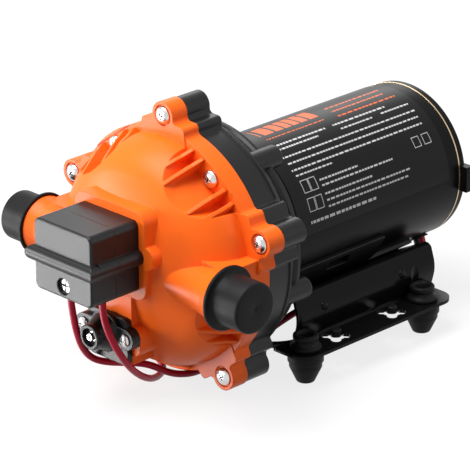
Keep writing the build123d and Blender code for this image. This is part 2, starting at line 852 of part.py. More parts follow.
def eccentric_cam():
    """Cam on the shaft whose journal is tilted, drawn in the wobble frame and bored on the shaft."""
    body = rod(bearing_bore, -bearing_width / 2, bearing_width / 2)
    body += rod(cam_shoulder_radius, bearing_width / 2, bearing_width / 2 + cam_shoulder)
    return body


def lower_housing():
    """Black bell between the head and the motor, with a collar round the motor's front."""
    body = slab(lobed_outline(bell_rim_radius, bell_lobe_radius), joint_y, bell_flange_end)
    bead_radius = bell_rim_radius + bell_bead
    body += rod(bead_radius, bell_flange_end - bell_bead_width, bell_flange_end)
    lip_end = bell_lip_y + bell_lip_width
    collar_radius = motor_radius + running_gap + collar_wall
    collar_end = motor_front + collar_length
    body += turned((0, joint_y + edge_round), (bell_cone_start, joint_y + edge_round),
                   (bell_cone_start, bell_flange_end), (bell_lip_radius - edge_round, bell_lip_y - edge_round),
                   (bell_lip_radius, bell_lip_y), (bell_lip_radius, lip_end),
                   (bell_lip_radius - edge_round, lip_end + edge_round),
                   (bell_dish_radius, lip_end + 2 * edge_round), (collar_radius, motor_front + edge_round),
                   (collar_radius, collar_end - edge_round), (collar_radius - edge_round, collar_end),
                   (0, collar_end))
    for angle in pocket_angles:
        boss_end = joint_y + chamber_boss_back
        boss = rod(chamber_boss_radius, joint_y + edge_round, boss_end, z=chamber_circle)
        boss = fillet(boss.edges().filter_by(GeomType.CIRCLE).sort_by(Axis.Y)[-1], boss_edge_round)
        body += around(angle) * boss
    body -= rod(motor_radius + running_gap, motor_front, collar_end + overrun)
    body -= rod(bell_cavity_radius, diaphragm_rear, bell_floor_y)
    body -= rod(diaphragm_radius + running_gap, joint_y - overrun, diaphragm_rear)
    body -= rod(bell_hub_radius + running_gap, bell_floor_y - overrun, motor_front + overrun)
    for angle in pocket_angles:
        end = pocket_floor + chamber_screw_length
        body -= around(angle) * rod(screw_radius, joint_y - overrun, end, z=chamber_circle)
    for angle in lobe_angles:
        end = lobe_counterbore + lobe_screw_length
        body -= around(angle) * rod(screw_radius, joint_y - overrun, end, z=lobe_circle)
    for side in (-1, 1):
        body -= rod(bolt_radius, bell_floor_y - overrun, motor_front + overrun, x=side * bolt_circle)
    return body


def housing_screws():
    """Five screws through the lobes."""
    screw = cross_head_screw(screw_radius, lobe_screw_length, head_radius, head_height)
    return [around(angle) * Pos(0, lobe_counterbore, lobe_circle) * screw for angle in lobe_angles]


def chamber_screws():
    """Five longer screws in the ribbed pockets."""
    screw = cross_head_screw(screw_radius, chamber_screw_length, head_radius, head_height)
    return [around(angle) * Pos(0, pocket_floor, chamber_circle) * screw for angle in pocket_angles]


def switch_shell(start, end):
    """Outside of the switch box between two stations, with the half-round ridge round it."""
    body = slab(switch_outline(0), start, end)
    reach = switch_width / 2 + ridge_proud
    for side in (-1, 1):
        bar = rod(ridge_radius, start, end, x=side * (reach - ridge_radius), z=ridge_z)
        body += bar
    return body


def front_ridge():
    """Half-round ridge across the front of the switch, mitred at its ends."""
    reach = switch_width / 2 + ridge_proud - ridge_radius
    y = switch_front - ridge_proud + ridge_radius
    ridge = crossbar(ridge_radius, -reach, reach, y=y, z=ridge_z)
    for side in (-1, 1):
        corner = crossbar(ridge_radius, side * reach - ridge_radius, side * reach + ridge_radius, y=y, z=ridge_z)
        corner = corner & rod(ridge_radius, y - ridge_radius, y + ridge_radius, x=side * reach, z=ridge_z)
        ridge += corner
    return ridge


def lead_hole(side):
    """Hole for one lead through the underside of the switch, on the seam."""
    drop = Cylinder(lead_radius + screw_gap, 2 * switch_wall + overrun)
    return Pos(side * lead_hole_x, lead_y(), switch_low) * drop


def lead_y():
    """Station at which both leads leave the switch."""
    return motor_lead_route[0][1] - head_y


def switch_cover():
    """Front half of the switch box."""
    body = switch_shell(switch_front + ridge_radius, switch_seam)
    face = slab(switch_outline(0), switch_front, switch_front + ridge_radius)
    face = fillet(face.edges().sort_by(Axis.Y)[:8], switch_corner / 3)
    body += face + front_ridge()
    hollow = slab(switch_outline(-switch_wall), switch_front + switch_wall, switch_seam + overrun)
    body -= hollow
    guide = adjust_radius + running_gap + adjust_guide_wall
    guide_end = switch_front + 2 * switch_wall
    body += rod(guide, switch_front + edge_round, guide_end, z=switch_hole_z) & slab(
        switch_outline(0), switch_front, switch_seam)
    body -= rod(adjust_radius + running_gap, switch_front, switch_seam, z=switch_hole_z)
    body -= rod(switch_hole_radius, switch_front - overrun, switch_front + switch_wall, z=switch_hole_z)
    for side in (-1, 1):
        body -= lead_hole(side)
    return body


def switch_base():
    """Rear half of the switch box, with the diaphragm seat, the plunger guide and the lever's pin."""
    body = switch_shell(switch_seam, -dome_depth)
    back = -dome_depth - switch_back_wall
    body -= slab(switch_outline(-switch_wall), switch_seam - overrun, back)
    body += rod(plunger_radius + 2 * switch_wall, back - switch_wall, back, z=sense_z)
    body -= rod(plunger_radius + running_gap, switch_seam - overrun, -dome_depth, z=sense_z)
    body -= rod(sense_radius + soft_gap, -dome_depth - sense_thick, -dome_depth + overrun, z=sense_z)
    lever_y = lever_rear() - lever_thick / 2
    pin = crossbar(lever_pin_radius, -switch_width / 2 + switch_wall / 2, switch_width / 2 - switch_wall / 2,
                   y=lever_y, z=lever_pivot_z)
    body += pin
    for side in (-1, 1):
        hole = rod(small_screw_radius + screw_gap, back - edge_round, -dome_depth + overrun,
                   x=side * fixing_x, z=fixing_z)
        body -= hole
        body -= lead_hole(side)
    return body


def lever_rear():
    """Station of the pressure lever's rear face, which the plunger touches."""
    return -dome_depth - sense_thick - plunger_length


def switch_diaphragm():
    """Small rubber disc that the water pressure bulges."""
    return rod(sense_radius, -dome_depth - sense_thick, -dome_depth, z=sense_z)


def switch_plunger():
    """Pin between the rubber disc and the pressure lever, its nose round against the lever."""
    rear = -dome_depth - sense_thick
    pin = rod(plunger_radius, lever_rear(), rear, z=sense_z)
    nose = Pos(0, lever_rear() + plunger_nose, sense_z) * Sphere(plunger_nose)
    return pin & (nose + rod(plunger_radius, lever_rear() + plunger_nose, rear + overrun, z=sense_z))


def switch_lever():
    """Lever that the plunger pushes forward against the spring."""
    front = lever_rear() - lever_thick
    low = (-lever_width / 2, front, lever_low_z)
    high = (lever_width / 2, lever_rear(), lever_pivot_z + lever_pin_radius + lever_thick)
    body = box(low, high)
    knuckle = lever_pin_radius + lever_thick
    middle = front + lever_thick / 2
    body += crossbar(knuckle, -lever_width / 2, lever_width / 2, y=middle, z=lever_pivot_z)
    hole = crossbar(lever_pin_radius + running_gap, -switch_width, switch_width, y=middle, z=lever_pivot_z)
    return body - hole


def switch_spring():
    """Coil spring between the lever's foot and the adjusting screw."""
    front = adjust_front() + adjust_length + spring_cup_thick
    length = lever_rear() - lever_thick - front
    spring = coil(switch_spring_radius, switch_spring_wire, length, switch_spring_turns)
    return Pos(0, front, switch_hole_z) * Rot(-90, 0, 0) * spring


def switch_spring_cup():
    """Disc between the adjusting screw and the spring, which slides but doesn't turn."""
    front = adjust_front() + adjust_length
    return rod(adjust_radius, front, front + spring_cup_thick, z=switch_hole_z)


def adjust_front():
    """Station of the front of the switch's adjusting screw, inside its hole."""
    return switch_front + switch_wall


def switch_adjust_screw():
    """Slotted screw that sets the switching pressure."""
    front = adjust_front()
    body = rod(adjust_radius, front, front + adjust_length, z=switch_hole_z)
    slot = box((-adjust_radius, front - overrun, -cross_width / 2),
               (adjust_radius, front + cross_depth, cross_width / 2))
    return body - Pos(0, 0, switch_hole_z) * (slot + Rot(0, 90, 0) * slot)


def microswitch():
    """Snap switch in the top of the cover, its button facing the lever."""
    rear = micro_rear()
    front = rear - micro_depth
    low = (-micro_width / 2, front, micro_low)
    body = box(low, (micro_width / 2, rear, micro_low + micro_height))
    button_end = lever_rear() - lever_thick - micro_gap
    return body + rod(micro_button_radius, rear - edge_round, button_end, z=micro_button_z)


def micro_rear():
    """Station of the snap switch's rear face."""
    return switch_front + switch_wall + micro_depth


def terminals():
    """Two tin-plated tabs that carry the leads, under the snap switch."""
    tabs = []
    rear = micro_rear() - edge_round
    for side in (-1, 1):
        x = side * micro_width / 3
        low = (x - terminal_width / 2, rear - terminal_thick, micro_low - terminal_drop)
        tabs.append(box(low, (x + terminal_width / 2, rear, micro_low)))
    return tabs


def small_screws():
    """Two screws that hold the switch's base, and two through the ears of the bypass valve."""
    screw = cross_head_screw(small_screw_radius, small_screw_length, small_head_radius, small_head_height)
    back = -dome_depth - switch_back_wall
    ears = bypass_body_y - bypass_flange_thick
    screws = [Pos(side * fixing_x, back, fixing_z) * screw for side in (-1, 1)]
    return screws + [Pos(side * bypass_ear_x, ears, bypass_z) * screw for side in (-1, 1)]


def bypass_plate():
    """Cover plate of the bypass valve."""
    body = slab(Pos(0, bypass_z) * bypass_outline(), bypass_body_y, -bypass_seat_lead)
    body -= rod(poppet_radius + soft_gap, bypass_body_y - overrun, overrun, z=bypass_z)
    for side in (-1, 1):
        hole = rod(small_screw_radius + screw_gap, bypass_body_y - overrun, overrun,
                   x=side * bypass_ear_x, z=bypass_z)
        body -= hole
    return body


def bypass_body():
    """Bypass valve body: two-eared flange, cone and nose, bored for the spring."""
    flange = Circle(bypass_flange_radius)
    for side in (-1, 1):
        flange += Pos(side * bypass_ear_x, 0) * Circle(bypass_ear_radius)
    web = Rectangle(2 * bypass_ear_x, 2 * bypass_ear_radius)
    flange_front = bypass_body_y - bypass_flange_thick
    body = slab(Pos(0, bypass_z) * (flange + web), flange_front, bypass_body_y)
    cone_end = flange_front - bypass_cone_length
    nose_end = cone_end - bypass_nose_length
    shape = turned((0, bypass_body_y), (bypass_cone_radius, bypass_body_y), (bypass_cone_radius, flange_front),
                   (bypass_nose_radius, cone_end), (bypass_nose_radius, nose_end + bypass_nose_round),
                   (bypass_nose_radius - bypass_nose_round, nose_end), (0, nose_end))
    body += Pos(0, 0, bypass_z) * shape
    thread_end = bypass_thread_y() + bypass_thread_length
    body -= rod(bypass_nose_hole, nose_end - overrun, bypass_thread_y(), z=bypass_z)
    body -= rod(bypass_thread_radius + running_gap, nose_end, thread_end + overrun, z=bypass_z)
    body -= rod(bypass_nose_hole, thread_end, overrun, z=bypass_z)
    body -= rod(poppet_radius + soft_gap, bypass_body_y - poppet_room, overrun, z=bypass_z)
    for side in (-1, 1):
        hole = rod(small_screw_radius + screw_gap, flange_front - overrun, overrun,
                   x=side * bypass_ear_x, z=bypass_z)
        body -= hole
    return body


def bypass_thread_y():
    """Station where the thread of the bypass body starts, behind the nose hole."""
    return bypass_body_y - bypass_flange_thick - bypass_cone_length


def bypass_poppet():
    """Poppet that closes the bypass port, with a stem inside the spring."""
    rear = -bypass_seat_lead - poppet_gap
    body = rod(poppet_radius, rear - poppet_thick, rear, z=bypass_z)
    return body + rod(poppet_stem_radius, rear - poppet_thick - poppet_stem, rear, z=bypass_z)


def spring_seat_rear():
    """Station of the rear face of the spring seat."""
    return bypass_thread_y() + bypass_thread_length + spring_seat_room + spring_seat_thick


def bypass_spring_seat():
    """Disc that the adjusting screw pushes against the spring."""
    return rod(spring_seat_radius, spring_seat_rear() - spring_seat_thick, spring_seat_rear(), z=bypass_z)


def bypass_spring():
    """Coil spring between the spring seat and the poppet."""
    start = spring_seat_rear()
    length = -bypass_seat_lead - poppet_gap - poppet_thick - start
    spring = coil(bypass_spring_radius, bypass_spring_wire, length, bypass_spring_turns)
    return Pos(0, start, bypass_z) * Rot(-90, 0, 0) * spring


def bypass_adjust_screw():
    """Socket screw in the nose of the bypass valve."""
    rear = spring_seat_rear() - spring_seat_thick
    front = bypass_thread_y() - bypass_nose_length + adjuster_recess
    body = rod(bypass_thread_radius, bypass_thread_y(), rear, z=bypass_z)
    body += rod(adjuster_radius, front, bypass_thread_y(), z=bypass_z)
    socket = slab(RegularPolygon(adjuster_socket, 6), front - overrun, front + adjuster_socket_depth)
    return body - Pos(0, 0, bypass_z) * socket


def motor_can():
    """Steel can of the motor."""
    body = tube(motor_radius, can_inner, motor_front, can_end)
    for place in bracket_screw_places:
        hole = Cylinder(screw_radius, 2 * motor_radius, align=(Align.CENTER, Align.CENTER, Align.MAX))
        body -= Pos(0, place, 0) * hole
    return body - grommet_frame() * Cylinder(grommet_neck + screw_gap, 2 * can_wall)


def grommet_frame():
    """Frame on the can's wall, under the motor, where the leads come out: Z points outwards."""
    place = around(grommet_angle) * Pos(0, motor_front + grommet_back, motor_radius - can_wall / 2)
    return place


def lead_grommet():
    """Rubber grommet with a lip on both sides of the can's wall and a hole for each lead."""
    body = Cylinder(grommet_neck, can_wall + 2 * soft_gap + grommet_lip)
    for side in (-1, 1):
        lip_z = side * (can_wall / 2 + soft_gap + grommet_lip / 2)
        body += Pos(0, 0, lip_z) * Cylinder(grommet_radius, grommet_lip)
    for side in (-1, 1):
        hole = Cylinder(lead_radius + screw_gap, motor_radius)
        body -= Pos(side * lead_spacing / 2, 0, 0) * hole
    return body


def motor_front_plate():
    """Front end plate of the motor, with the front bearing's seat."""
    body = rod(can_inner, motor_front, motor_front + front_plate_thick)
    boss_front = motor_front - front_boss_lead
    boss_rear = motor_front + front_boss_tail
    body += rod(bell_hub_radius, boss_front, boss_rear)
    body -= rod(motor_bearing_outer, boss_rear - motor_bearing_width, boss_rear + overrun)
    body -= rod(shaft_radius + cam_shoulder, boss_front - overrun, boss_rear)
    for side in (-1, 1):
        body -= rod(bolt_radius + screw_gap, boss_front, boss_rear, x=side * bolt_circle)
    return body


def motor_bearing(outer, inner):
    """One ring of the two motor bearings, at both ends of the shaft."""
    front = motor_front + front_boss_tail - motor_bearing_width
    rear_end = can_end + rear_ring_thick
    first = tube(outer, inner, front, front + motor_bearing_width)
    return [first, tube(outer, inner, rear_end - motor_bearing_width, rear_end)]


def motor_rear_cap():
    """Rear end cap with the rear bearing's seat, and a cable-clip ear on the outlet side."""
    seat_y = can_end + rear_ring_thick
    body = rod(motor_radius, seat_y, motor_rear)
    middle = (seat_y + motor_rear) / 2
    length = motor_rear - seat_y
    body += box((0, middle - length / 2, -ear_width / 2), (motor_radius + ear_reach, motor_rear, ear_width / 2))
    edges = body.edges().filter_by(GeomType.CIRCLE).sort_by(Axis.Y)
    body = fillet(edges[-1], ear_round)
    body += rod(rear_bearing_boss, seat_y - motor_bearing_width, seat_y)
    body += tube(can_inner, can_inner - can_wall, seat_y - rear_cap_spigot, seat_y)
    body -= rod(motor_bearing_outer, seat_y - motor_bearing_width - overrun, seat_y)
    body -= rod(shaft_radius + cam_shoulder, seat_y - overrun, seat_y + edge_round)
    for side in (-1, 1):
        body -= rod(bolt_radius + screw_gap, seat_y - 2 * overrun, motor_rear, x=side * bolt_circle)
        head_y_start = motor_rear - bolt_head_height
        body -= rod(bolt_head_radius + soft_gap, head_y_start, motor_rear + overrun, x=side * bolt_circle)
    return body


def rear_cap_ring():
    """Thin pale ring between the can and the rear cap."""
    return tube(motor_radius + rear_ring_proud, can_inner, can_end, can_end + rear_ring_thick)


def magnets():
    """Two ceramic magnet arcs, above and below the rotor."""
    start = motor_front + magnet_start
    ring = tube(can_inner, can_inner - magnet_thick, start, start + magnet_length)
    half = can_inner * tan(radians(90 - magnet_half_angle))
    wedge_points = [(0, 0), (2 * can_inner, 2 * half), (0, 4 * can_inner), (-2 * can_inner, 2 * half)]
    wedge = slab(make_face(Polyline(*wedge_points, close=True)), start, start + magnet_length)
    return [ring & wedge, Rot(0, 180, 0) * (ring & wedge)]


def slot_bar(radius, start, end, circle):
    """Bars along the shaft at each of the rotor's slots."""
    bars = [around(360 / slot_count * index) * rod(radius, start, end, z=circle) for index in range(slot_count)]
    return bars[0] + bars[1:]


def rotor_core():
    """Laminated iron core with slots for the winding."""
    start = motor_front + core_start
    end = start + core_length
    body = rod(core_radius, start, end)
    body -= slot_bar(slot_radius, start - overrun, end + overrun, core_radius - slot_depth)
    for index in range(slot_count):
        mouth = box((-slot_mouth / 2, start - overrun, core_radius - slot_depth),
                    (slot_mouth / 2, end + overrun, core_radius + overrun))
        body -= around(360 / slot_count * index) * mouth
    return body - rod(shaft_radius, start - overrun, end + overrun)


def rotor_winding():
    """Copper winding: bars in the slots and a rounded bundle at each end of the core."""
    start = motor_front + core_start
    end = start + core_length
    body = slot_bar(slot_radius - running_gap, start, end, core_radius - slot_depth)
    for face, sign in ((start, -1), (end, 1)):
        bulge = winding_end / 3
        tip = face + sign * winding_end
        body += turned((winding_inner, face), (core_radius - slot_depth + slot_radius / 2, face),
                       (winding_outer, face + sign * bulge), (winding_outer - bulge, tip),
                       (winding_inner + bulge, tip), (winding_inner, face + sign * bulge))
    return body


def commutator():
    """Commutator with a groove between its copper bars."""
    start = commutator_y
    end = start + commutator_length
    body = tube(commutator_radius, shaft_radius, start, end)
    for index in range(slot_count):
        low = (-commutator_groove / 2, start - overrun, commutator_radius - commutator_groove_depth)
        high = (commutator_groove / 2, end + overrun, commutator_radius + overrun)
        body -= around(360 / slot_count * (index + 1 / 2)) * box(low, high)
    return body


def motor_shaft():
    """Steel shaft from the cam to the rear bearing."""
    return rod(shaft_radius, motor_front - shaft_lead, can_end + rear_ring_thick)


def brush_plate():
    """Insulating plate with a holder for each brush."""
    front = brush_y + brush_length / 2 + brush_holder_wall
    body = tube(can_inner, brush_plate_bore, front, front + brush_plate_thick)
    for angle in (top_angle, -top_angle):
        half = brush_width / 2 + running_gap
        length = brush_length / 2 + running_gap
        wall = brush_holder_wall
        holder = box((-half - wall, brush_y - length - wall, brush_plate_bore),
                     (half + wall, front + edge_round, brush_holder_reach))
        holder -= box((-half, brush_y - length, brush_plate_bore - overrun),
                      (half, brush_y + length, brush_holder_reach - wall))
        body += around(angle) * holder
    for side in (-1, 1):
        body -= rod(bolt_radius + screw_gap, front - overrun, front + overrun, x=side * bolt_circle)
    return body


def brushes():
    """Two carbon brushes that ride on the commutator."""
    near = commutator_radius + running_gap
    brush = box((-brush_width / 2, brush_y - brush_length / 2, near),
                (brush_width / 2, brush_y + brush_length / 2, near + brush_height))
    return [around(angle) * brush for angle in (top_angle, -top_angle)]


def brush_springs():
    """Two coil springs behind the brushes."""
    near = commutator_radius + running_gap + brush_height
    length = brush_holder_reach - brush_holder_wall - near
    spring = Pos(0, brush_y, near) * coil(brush_spring_radius, brush_spring_wire, length, slot_count / 4)
    return [around(angle) * spring for angle in (top_angle, -top_angle)]


def motor_bolts():
    """Two long bolts from the rear cap to the lower housing."""
    head_start = motor_rear - bolt_head_height
    hexagon = slab(RegularPolygon(bolt_head_radius, 6), head_start, motor_rear)
    bolt = hexagon + rod(bolt_radius, bell_floor_y + edge_round, head_start)
    return [Pos(side * bolt_circle, 0, 0) * bolt for side in (-1, 1)]


def motor_label():
    """Thin printed skin over the top of the can."""
    start = motor_front + label_start
    end = motor_front + label_end
    inner = motor_radius + label_gap
    points = [(inner, start), (inner + label_thick, start), (inner + label_thick, end), (inner, end)]
    sweep_angle = 2 * (top_angle - label_low_angle)
    band = revolve(make_face(Polyline(*points, close=True)), Axis.Y, revolution_arc=-sweep_angle)
    return Rot(0, -label_low_angle, 0) * band


def fold_slope():
    """Angle of the bracket's sloping sides, which touch the saddle's round underside."""
    reach = hypot(wall_top_x, wall_top_z)
    radius = saddle_outer + sheet / 2
    return asin(radius / reach) - atan2(-wall_top_z, wall_top_x)


def bracket_path():
    """Middle line of the bracket's sheet, seen from the front, in the pump's frame."""
    slope = fold_slope()
    radius = saddle_outer + sheet / 2
    plate_z = plate_mid - axis_height
    half = [(plate_half_x, plate_z), (wall_foot_x, plate_z), (wall_mid_x, wall_mid_z), (wall_top_x, wall_top_z)]
    points = half + [(0, -radius / cos(slope))] + [(-x, z) for x, z in reversed(half)]
    radii = [fold_round, wall_bulge, fold_round, radius, fold_round, wall_bulge, fold_round]
    return FilletPolyline(*points, radius=radii)


def plate_cut_corners():
    """Outer outline of the two plates, seen from above."""
    return Pos(0, plate_shift) * RectangleRounded(2 * plate_half_x, plate_length, plate_corner)


def bracket_blank():
    """Folded sheet before its holes: the M of the middle and the two foot plates."""
    outline = trace(bracket_path(), line_width=sheet)
    folded = pump_place * slab(outline, wall_front, wall_rear)
    plates = extrude(Pos(0, 0, plate_top - sheet) * plate_cut_corners(), amount=sheet)
    middle = wall_foot_x - fold_round
    plates -= box((-middle, -plate_length, 0), (middle, plate_length, axis_height))
    hull = extrude(plate_cut_corners(), amount=axis_height)
    return (folded & hull) + plates


def upright(radius, low, high):
    """Upright cylinder between two heights."""
    bar = Cylinder(radius, high - low, align=(Align.CENTER, Align.CENTER, Align.MIN))
    return Pos(0, 0, low) * bar


def peg_hole(side):
    """Crossed slots round a peg, with one tongue left in them for the peg to stand on."""
    low = plate_top - sheet - edge_round
    bar = extrude(Pos(0, 0, low) * SlotOverall(peg_slot_length, peg_slot_width), amount=sheet + 2 * edge_round)
    hole = upright(peg_hole_radius, low, plate_top + edge_round)
    hole += Rot(0, 0, 45) * bar + Rot(0, 0, -45) * bar
    tongue = box((peg_tongue_reach, -peg_tongue_width / 2, low),
                 (peg_slot_length, peg_tongue_width / 2, plate_top + edge_round))
    return hole - Rot(0, 0, 90 + side * 45) * tongue


def foot_relief():
    """Room in the bracket's wall for a foot's flange and collar."""
    flange_top = plate_top + foot_flange_thick + foot_relief_gap
    room = upright(foot_flange_radius + foot_relief_gap, plate_top, flange_top)
    return room + upright(foot_collar_radius + foot_relief_gap, plate_top, foot_collar_top + foot_relief_gap)


def base_bracket():
    """Stamped bracket that carries the motor on four feet."""
    body = bracket_blank()
    for x in (-foot_span_x / 2, foot_span_x / 2):
        for y in (-foot_span_y / 2, foot_span_y / 2):
            body -= Pos(x, y, 0) * (foot_relief() + upright(foot_neck_radius + screw_gap, 0, axis_height))
    for side in (-1, 1):
        for y in (peg_shift - peg_span_y / 2, peg_shift + peg_span_y / 2):
            body -= Pos(side * peg_x, y, 0) * peg_hole(side)
    notch_end = motor_front + collar_length + soft_gap
    body -= pump_place * rod(saddle_outer + sheet + soft_gap, wall_front - overrun, notch_end)
    for place in bracket_screw_places:
        body -= Pos(0, head_y + place, 0) * upright(screw_radius + screw_gap, 0, axis_height)
    for side in (-1, 1):
        for y in (dimple_shift - dimple_span / 2, dimple_shift + dimple_span / 2):
            bump = Sphere(dimple_radius)
            x = side * (dimple_x() + dimple_proud - dimple_radius)
            body += Pos(x, y, axis_height + dimple_z) * bump
    return body


def dimple_x():
    """Outside of the bracket's wall at the height of the dimples."""
    share = (dimple_z - wall_mid_z) / (wall_top_z - wall_mid_z)
    return wall_mid_x + share * (wall_top_x - wall_mid_x) + sheet / 2


def saddle_sector(low_angle, start, end, outer):
    """Part ring under the motor that reaches up to the same angle below level on both sides."""
    points = [(motor_radius, start), (outer, start), (outer, end), (motor_radius, end)]
    arc = 2 * (top_angle - low_angle)
    ring = revolve(make_face(Polyline(*points, close=True)), Axis.Y, revolution_arc=arc)
    return Rot(0, low_angle, 0) * ring


def motor_saddle():
    """Black saddle between the motor and the bracket, with a windowed wing on each side."""
    body = saddle_sector(saddle_wing_angle, saddle_start, saddle_wing_end, saddle_outer)
    body += saddle_sector(saddle_low_angle, saddle_start, saddle_end, saddle_outer)
    for side in (-1, 1):
        middle = (saddle_window_low + saddle_window_high) / 2
        half = saddle_outer * sin(radians((saddle_window_low - saddle_window_high) / 2))
        window = box((-half, saddle_window_start, motor_radius - overrun),
                     (half, saddle_window_start + saddle_window_length, saddle_outer + overrun))
        body -= around(top_angle + side * (180 - top_angle + middle)) * window
    for place in bracket_screw_places:
        body -= Pos(0, place, -saddle_outer) * Cylinder(screw_radius + screw_gap, 2 * overrun)
    return body


def bracket_screws():
    """Two screws up through the bracket and the saddle into the can."""
    under = saddle_outer + sheet
    length = under - motor_radius + bracket_screw_bite
    screw = Rot(-90, 0, 0) * Rot(180, 0, 0) * cross_head_screw(screw_radius, length, head_radius, head_height)
    return [Pos(0, place, -under) * screw for place in bracket_screw_places]


def rubber_foot():
    """Rubber foot in its hole in the bracket, standing on the ground, bored for a screw."""
    low = plate_top - sheet
    flange_top = plate_top + foot_flange_thick
    points = [(foot_bore, 0), (foot_tip_radius, 0), (foot_tip_radius + foot_tip_round / 2, foot_tip_round),
              (foot_radius, foot_shoulder_z), (foot_radius, foot_ring_low), (foot_ring_radius, foot_ring_low),
              (foot_ring_radius, low), (foot_neck_radius, low), (foot_neck_radius, plate_top),
              (foot_flange_radius, plate_top), (foot_flange_radius, flange_top - edge_round / 2),
              (foot_flange_radius - edge_round / 2, flange_top), (foot_throat_radius, flange_top + edge_round),
              (foot_throat_radius, foot_collar_low), (foot_collar_radius, foot_collar_low + edge_round / 2),
              (foot_collar_radius, foot_collar_top - edge_round / 2),
              (foot_collar_radius - edge_round / 2, foot_collar_top), (foot_bore, foot_collar_top)]
    return revolve(Plane.XZ * make_face(Polyline(*points, close=True)), Axis.Z)


def rubber_feet():
    """Four equal feet."""
    spots = [(x, y) for x in (-foot_span_x / 2, foot_span_x / 2) for y in (-foot_span_y / 2, foot_span_y / 2)]
    return [Pos(x, y, 0) * rubber_foot() for x, y in spots]


def pegs():
    """Four rubber pegs that stand on the tongues of the foot plates."""
    top = plate_top + peg_height
    points = [(0, plate_top), (peg_radius, plate_top), (peg_radius, top - peg_round), (peg_radius - peg_round, top),
              (0, top)]
    peg = revolve(Plane.XZ * make_face(Polyline(*points, close=True)), Axis.Z)
    stations = (peg_shift - peg_span_y / 2, peg_shift + peg_span_y / 2)
    return [Pos(x, y, 0) * peg for x in (-peg_x, peg_x) for y in stations]


def lead(name, route):
    """Wire of one lead: straight runs joined by arcs as large as its runs allow."""
    points = [Vector(*point) for point in route]
    runs = [end - start for start, end in zip(points, points[1:])]
    radii = []
    for before, after in zip(runs, runs[1:]):
        half_turn = radians(before.get_angle(after)) / 2
        radii.append(bend_share * min(before.length, after.length) / tan(half_turn))
    print(name, "bend radii:", [round(radius, 1) for radius in radii])
    path = FilletPolyline(*route, radius=radii)
    section = Plane(origin=path @ 0, z_dir=path % 0) * Circle(lead_radius)
    wire = sweep(section, path=path)
    print(name, "length:", round(path.length, 1), "volume share:",
          round(wire.volume / (pi * lead_radius ** 2 * path.length), 4))
    return wire


def keep(name, solids, place=pump_place):
    """Write one sub-part, moved from its own frame to its place on the feet."""
    if isinstance(solids, list):
        shape = Compound(children=[place * solid for solid in solids])
    else:
        shape = place * solids
    export_step(shape, f"parts/{name}.step")


def write_head():
    """Pieces of the pump head."""
    keep("upper_housing", upper_housing())
    keep("outlet_cap", port_cap())
    keep("inlet_cap", Rot(0, 180, 0) * port_cap())
    keep("valve_plate", valve_plate())
    keep("inlet_valves", [around(angle) * inlet_valve() for angle in lobe_angles])
    keep("outlet_valve", outlet_valve())
    keep("head_seal", head_seal())
    keep("diaphragm", diaphragm())
    keep("lower_housing", lower_housing())
    keep("housing_screws", housing_screws())
    keep("chamber_screws", chamber_screws())


def write_drive():
    """Wobble plate, pistons, bearing and cam, all on the tilted journal."""
    tilted = pump_place * wobble_frame()
    middle = (bearing_outer + bearing_bore) / 2
    groove = ball_radius + running_gap
    outer_inner = middle + bearing_land
    inner_outer = middle - bearing_land
    keep("inner_pistons", [around(angle) * inner_piston() for angle in lobe_angles], tilted)
    keep("diaphragm_discs", [around(angle) * diaphragm_disc() for angle in lobe_angles], tilted)
    keep("piston_screws", [around(angle) * piston_screw() for angle in lobe_angles], tilted)
    keep("wobble_plate", wobble_plate(), tilted)
    keep("wobble_bearing_outer", bearing_ring(bearing_outer, outer_inner, bearing_width, middle, groove), tilted)
    keep("wobble_bearing_inner", bearing_ring(inner_outer, bearing_bore, bearing_width, middle, groove), tilted)
    ball = Pos(0, 0, middle) * Sphere(ball_radius)
    keep("wobble_bearing_balls", [around(360 / ball_count * index) * ball for index in range(ball_count)], tilted)
    cam = wobble_frame() * eccentric_cam()
    keep("eccentric_cam", cam - rod(shaft_radius, 0, motor_front))


def write_switch():
    """Pieces of the pressure switch."""
    keep("switch_cover", switch_cover())
    keep("switch_base", switch_base())
    keep("switch_diaphragm", switch_diaphragm())
    keep("switch_plunger", switch_plunger())
    keep("switch_lever", switch_lever())
    keep("switch_spring", switch_spring())
    keep("switch_spring_cup", switch_spring_cup())
    keep("switch_adjust_screw", switch_adjust_screw())
    keep("microswitch", [microswitch()] + terminals())
    keep("small_screws", small_screws())


def write_bypass():
    """Pieces of the bypass valve."""
    keep("bypass_plate", bypass_plate())
    keep("bypass_body", bypass_body())
    keep("bypass_poppet", bypass_poppet())
    keep("bypass_spring", bypass_spring())
    keep("bypass_spring_seat", bypass_spring_seat())
    keep("bypass_adjust_screw", bypass_adjust_screw())


def write_motor():
    """Pieces of the motor."""
    keep("motor_can", motor_can())
    keep("motor_front_plate", motor_front_plate())
    keep("motor_rear_cap", motor_rear_cap())
    keep("rear_cap_ring", rear_cap_ring())
    keep("magnets", magnets())
    keep("rotor_core", rotor_core())
    keep("rotor_winding", rotor_winding())
    keep("commutator", commutator())
    keep("motor_shaft", motor_shaft())
    keep("bearing_outer_races", motor_bearing(motor_bearing_outer, motor_bearing_split + running_gap))
    keep("bearing_inner_races", motor_bearing(motor_bearing_split, shaft_radius))
    keep("brush_plate", brush_plate())
    keep("brushes", brushes())
    keep("brush_springs", brush_springs())
    keep("motor_bolts", motor_bolts())
    keep("motor_label", motor_label())
    keep("lead_grommet", grommet_frame() * lead_grommet())


def write_base():
    """Bracket, saddle, screws, feet and pegs."""
    keep("base_bracket", base_bracket(), Pos(0, 0, 0))
    keep("motor_saddle", motor_saddle())
    keep("bracket_screws", bracket_screws())
    keep("rubber_feet", rubber_feet(), Pos(0, 0, 0))
    keep("slot_pegs", pegs(), Pos(0, 0, 0))


